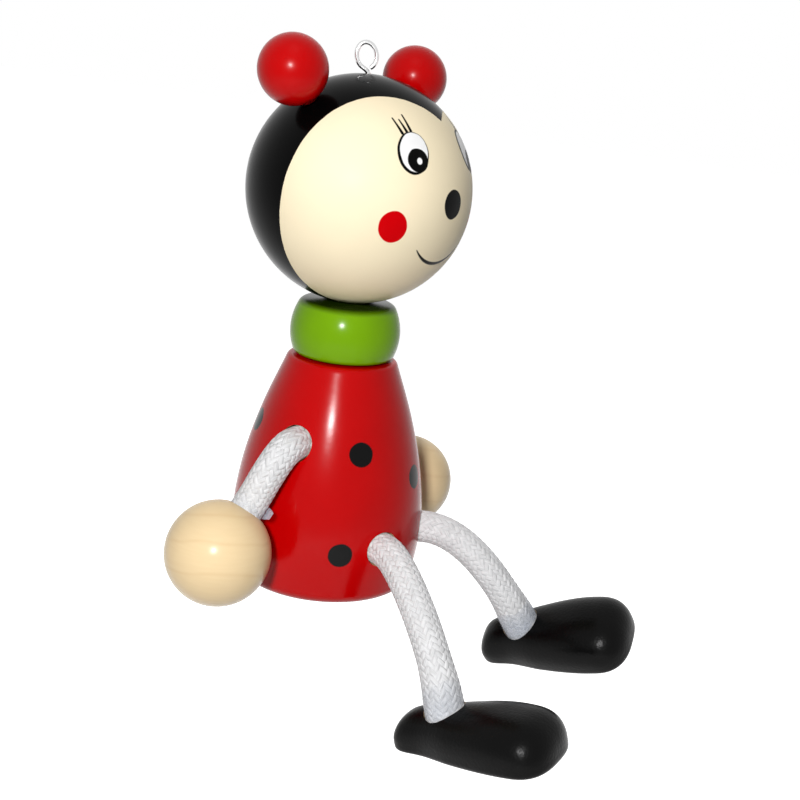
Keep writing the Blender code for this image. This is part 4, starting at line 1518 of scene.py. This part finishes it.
def add_camera(stage):
    """The camera, from its place, the direction that it stands in and its roll."""
    back = Vector(heading(stage.camera_azimuth, stage.camera_elevation))
    level = Vector((math.cos(stage.camera_azimuth), math.sin(stage.camera_azimuth), 0.0))
    rise = back.cross(level)
    c, s = math.cos(stage.camera_roll), math.sin(stage.camera_roll)
    data = bpy.data.cameras.new("camera")
    data.sensor_width = SENSOR_WIDTH
    data.lens = stage.lens
    data.clip_start = NEAREST_SEEN
    camera = add_object("camera", data)
    camera.matrix_world = Matrix((level * c + rise * s, rise * c - level * s, back)).transposed().to_4x4()
    camera.location = stage.camera_place
    return camera


def add_lamps(stage, aim):
    """Square lamps that face a point: a hard one near the camera and soft ones above and behind.

    Only the hard one shows in gloss.
    """
    azimuth = stage.camera_azimuth + stage.key_aside
    lamps = (("key", stage.camera_elevation + stage.key_above, stage.key_power, stage.key_size),
             ("above", stage.top_elevation, stage.top_power, stage.soft_size),
             ("behind", stage.back_elevation, stage.back_power, stage.soft_size))
    for name, elevation, power, size in lamps:
        data = bpy.data.lights.new(name, "AREA")
        data.energy = power
        data.size = size
        place = aim + Vector(heading(azimuth, elevation)) * stage.lamp_distance
        lamp = add_object(name, data)
        lamp.location = place
        lamp.rotation_euler = (place - aim).to_track_quat("Z", "Y").to_euler()
        lamp.visible_glossy = name == "key"


def seen_rays(finish):
    """Whether a ray is seen by the camera, straight, through something clear or in gloss."""
    camera, through, gloss = (finish.node("ShaderNodeLightPath", output=name)
                              for name in ("Is Camera Ray", "Is Transmission Ray", "Is Glossy Ray"))
    return (camera + through + gloss).clamped()


class WorldFinish(Finish):
    """The world's shader tree, written with the same expressions."""

    def __init__(self, world):
        world.use_nodes = True
        self.tree = world.node_tree
        self.shader = self.tree.nodes["Background"]


def add_room(stage):
    """A world of faint even light that is white where the camera sees it."""
    world = bpy.data.worlds.new("room")
    room = WorldFinish(world)
    room.set("Color", WHITE)
    room.set("Strength", stage.fill + (1.0 - stage.fill) * seen_rays(room))
    return world


def add_floor(height):
    """A pale square floor that glows nearly white where the camera sees it."""
    square = np.array([(-1, -1, 0), (1, -1, 0), (1, 1, 0), (-1, 1, 0)])
    corners = FLOOR_HALF * square + (0.0, 0.0, height)
    finish = Finish("pale_floor", Roughness=0.9, Specular_IOR_Level=0.1)
    seen = seen_rays(finish)
    finish.set("Base Color", finish.mix(seen, FLOOR_LIT, FLOOR_SEEN))
    finish.set("Emission Color", finish.mix(seen, UNLIT, WHITE))
    finish.set("Emission Strength", FLOOR_GLOW)
    return add_piece("floor", corners, [np.array([(0, 1, 2, 3)])], [finish.material])


class DOLL_OT_stage(bpy.types.Operator):
    """Set up the camera, the lamps, the floor and the white ground"""
    bl_idname = "doll.stage"
    bl_label = "Stage"

    def execute(self, context):
        stage = settings().stage
        low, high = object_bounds()
        context.scene.camera = add_camera(stage)
        context.scene.view_settings.view_transform = "Standard"
        add_lamps(stage, (low + high) / 2)
        context.scene.world = add_room(stage)
        floor = add_floor(low.z - stage.floor_drop)
        floor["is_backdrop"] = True
        return {"FINISHED"}


OPERATORS = (DOLL_OT_cords, DOLL_OT_torso, DOLL_OT_collar, DOLL_OT_head, DOLL_OT_ears,
             DOLL_OT_screw_eye, DOLL_OT_hands, DOLL_OT_shoes, DOLL_OT_tapes, DOLL_OT_dowels,
             DOLL_OT_stage)
GROUPS = (TurningSizes, WireSizes, CordSizes, ShoeSizes, Paints, StageSettings, DollSettings)


class DOLL_PT_panel(bpy.types.Panel):
    """Lists the doll's pieces and its settings"""
    bl_idname = "DOLL_PT_panel"
    bl_label = "Hanging Doll"
    bl_space_type = "VIEW_3D"
    bl_region_type = "UI"
    bl_category = "Doll"

    def draw(self, context):
        for operator in OPERATORS:
            self.layout.operator(operator.bl_idname)
        for group in DollSettings.__annotations__:
            box = self.layout.box()
            box.label(text=group.capitalize())
            values = getattr(settings(), group)
            for name in values.__annotations__:
                box.prop(values, name)


CLASSES = (*GROUPS, *OPERATORS, DOLL_PT_panel)


def register():
    """Register the classes and hang the settings on the scene."""
    for cls in CLASSES:
        bpy.utils.register_class(cls)
    bpy.types.Scene.doll = PointerProperty(type=DollSettings)


def unregister():
    """Take the settings and the classes away again."""
    del bpy.types.Scene.doll
    for cls in reversed(CLASSES):
        bpy.utils.unregister_class(cls)


def main():
    """Register the settings, then dress the doll piece by piece and set the stage."""
    register()
    for operator in OPERATORS:
        group, name = operator.bl_idname.split(".")
        getattr(getattr(bpy.ops, group), name)()


if __name__ == "__main__":
    main()
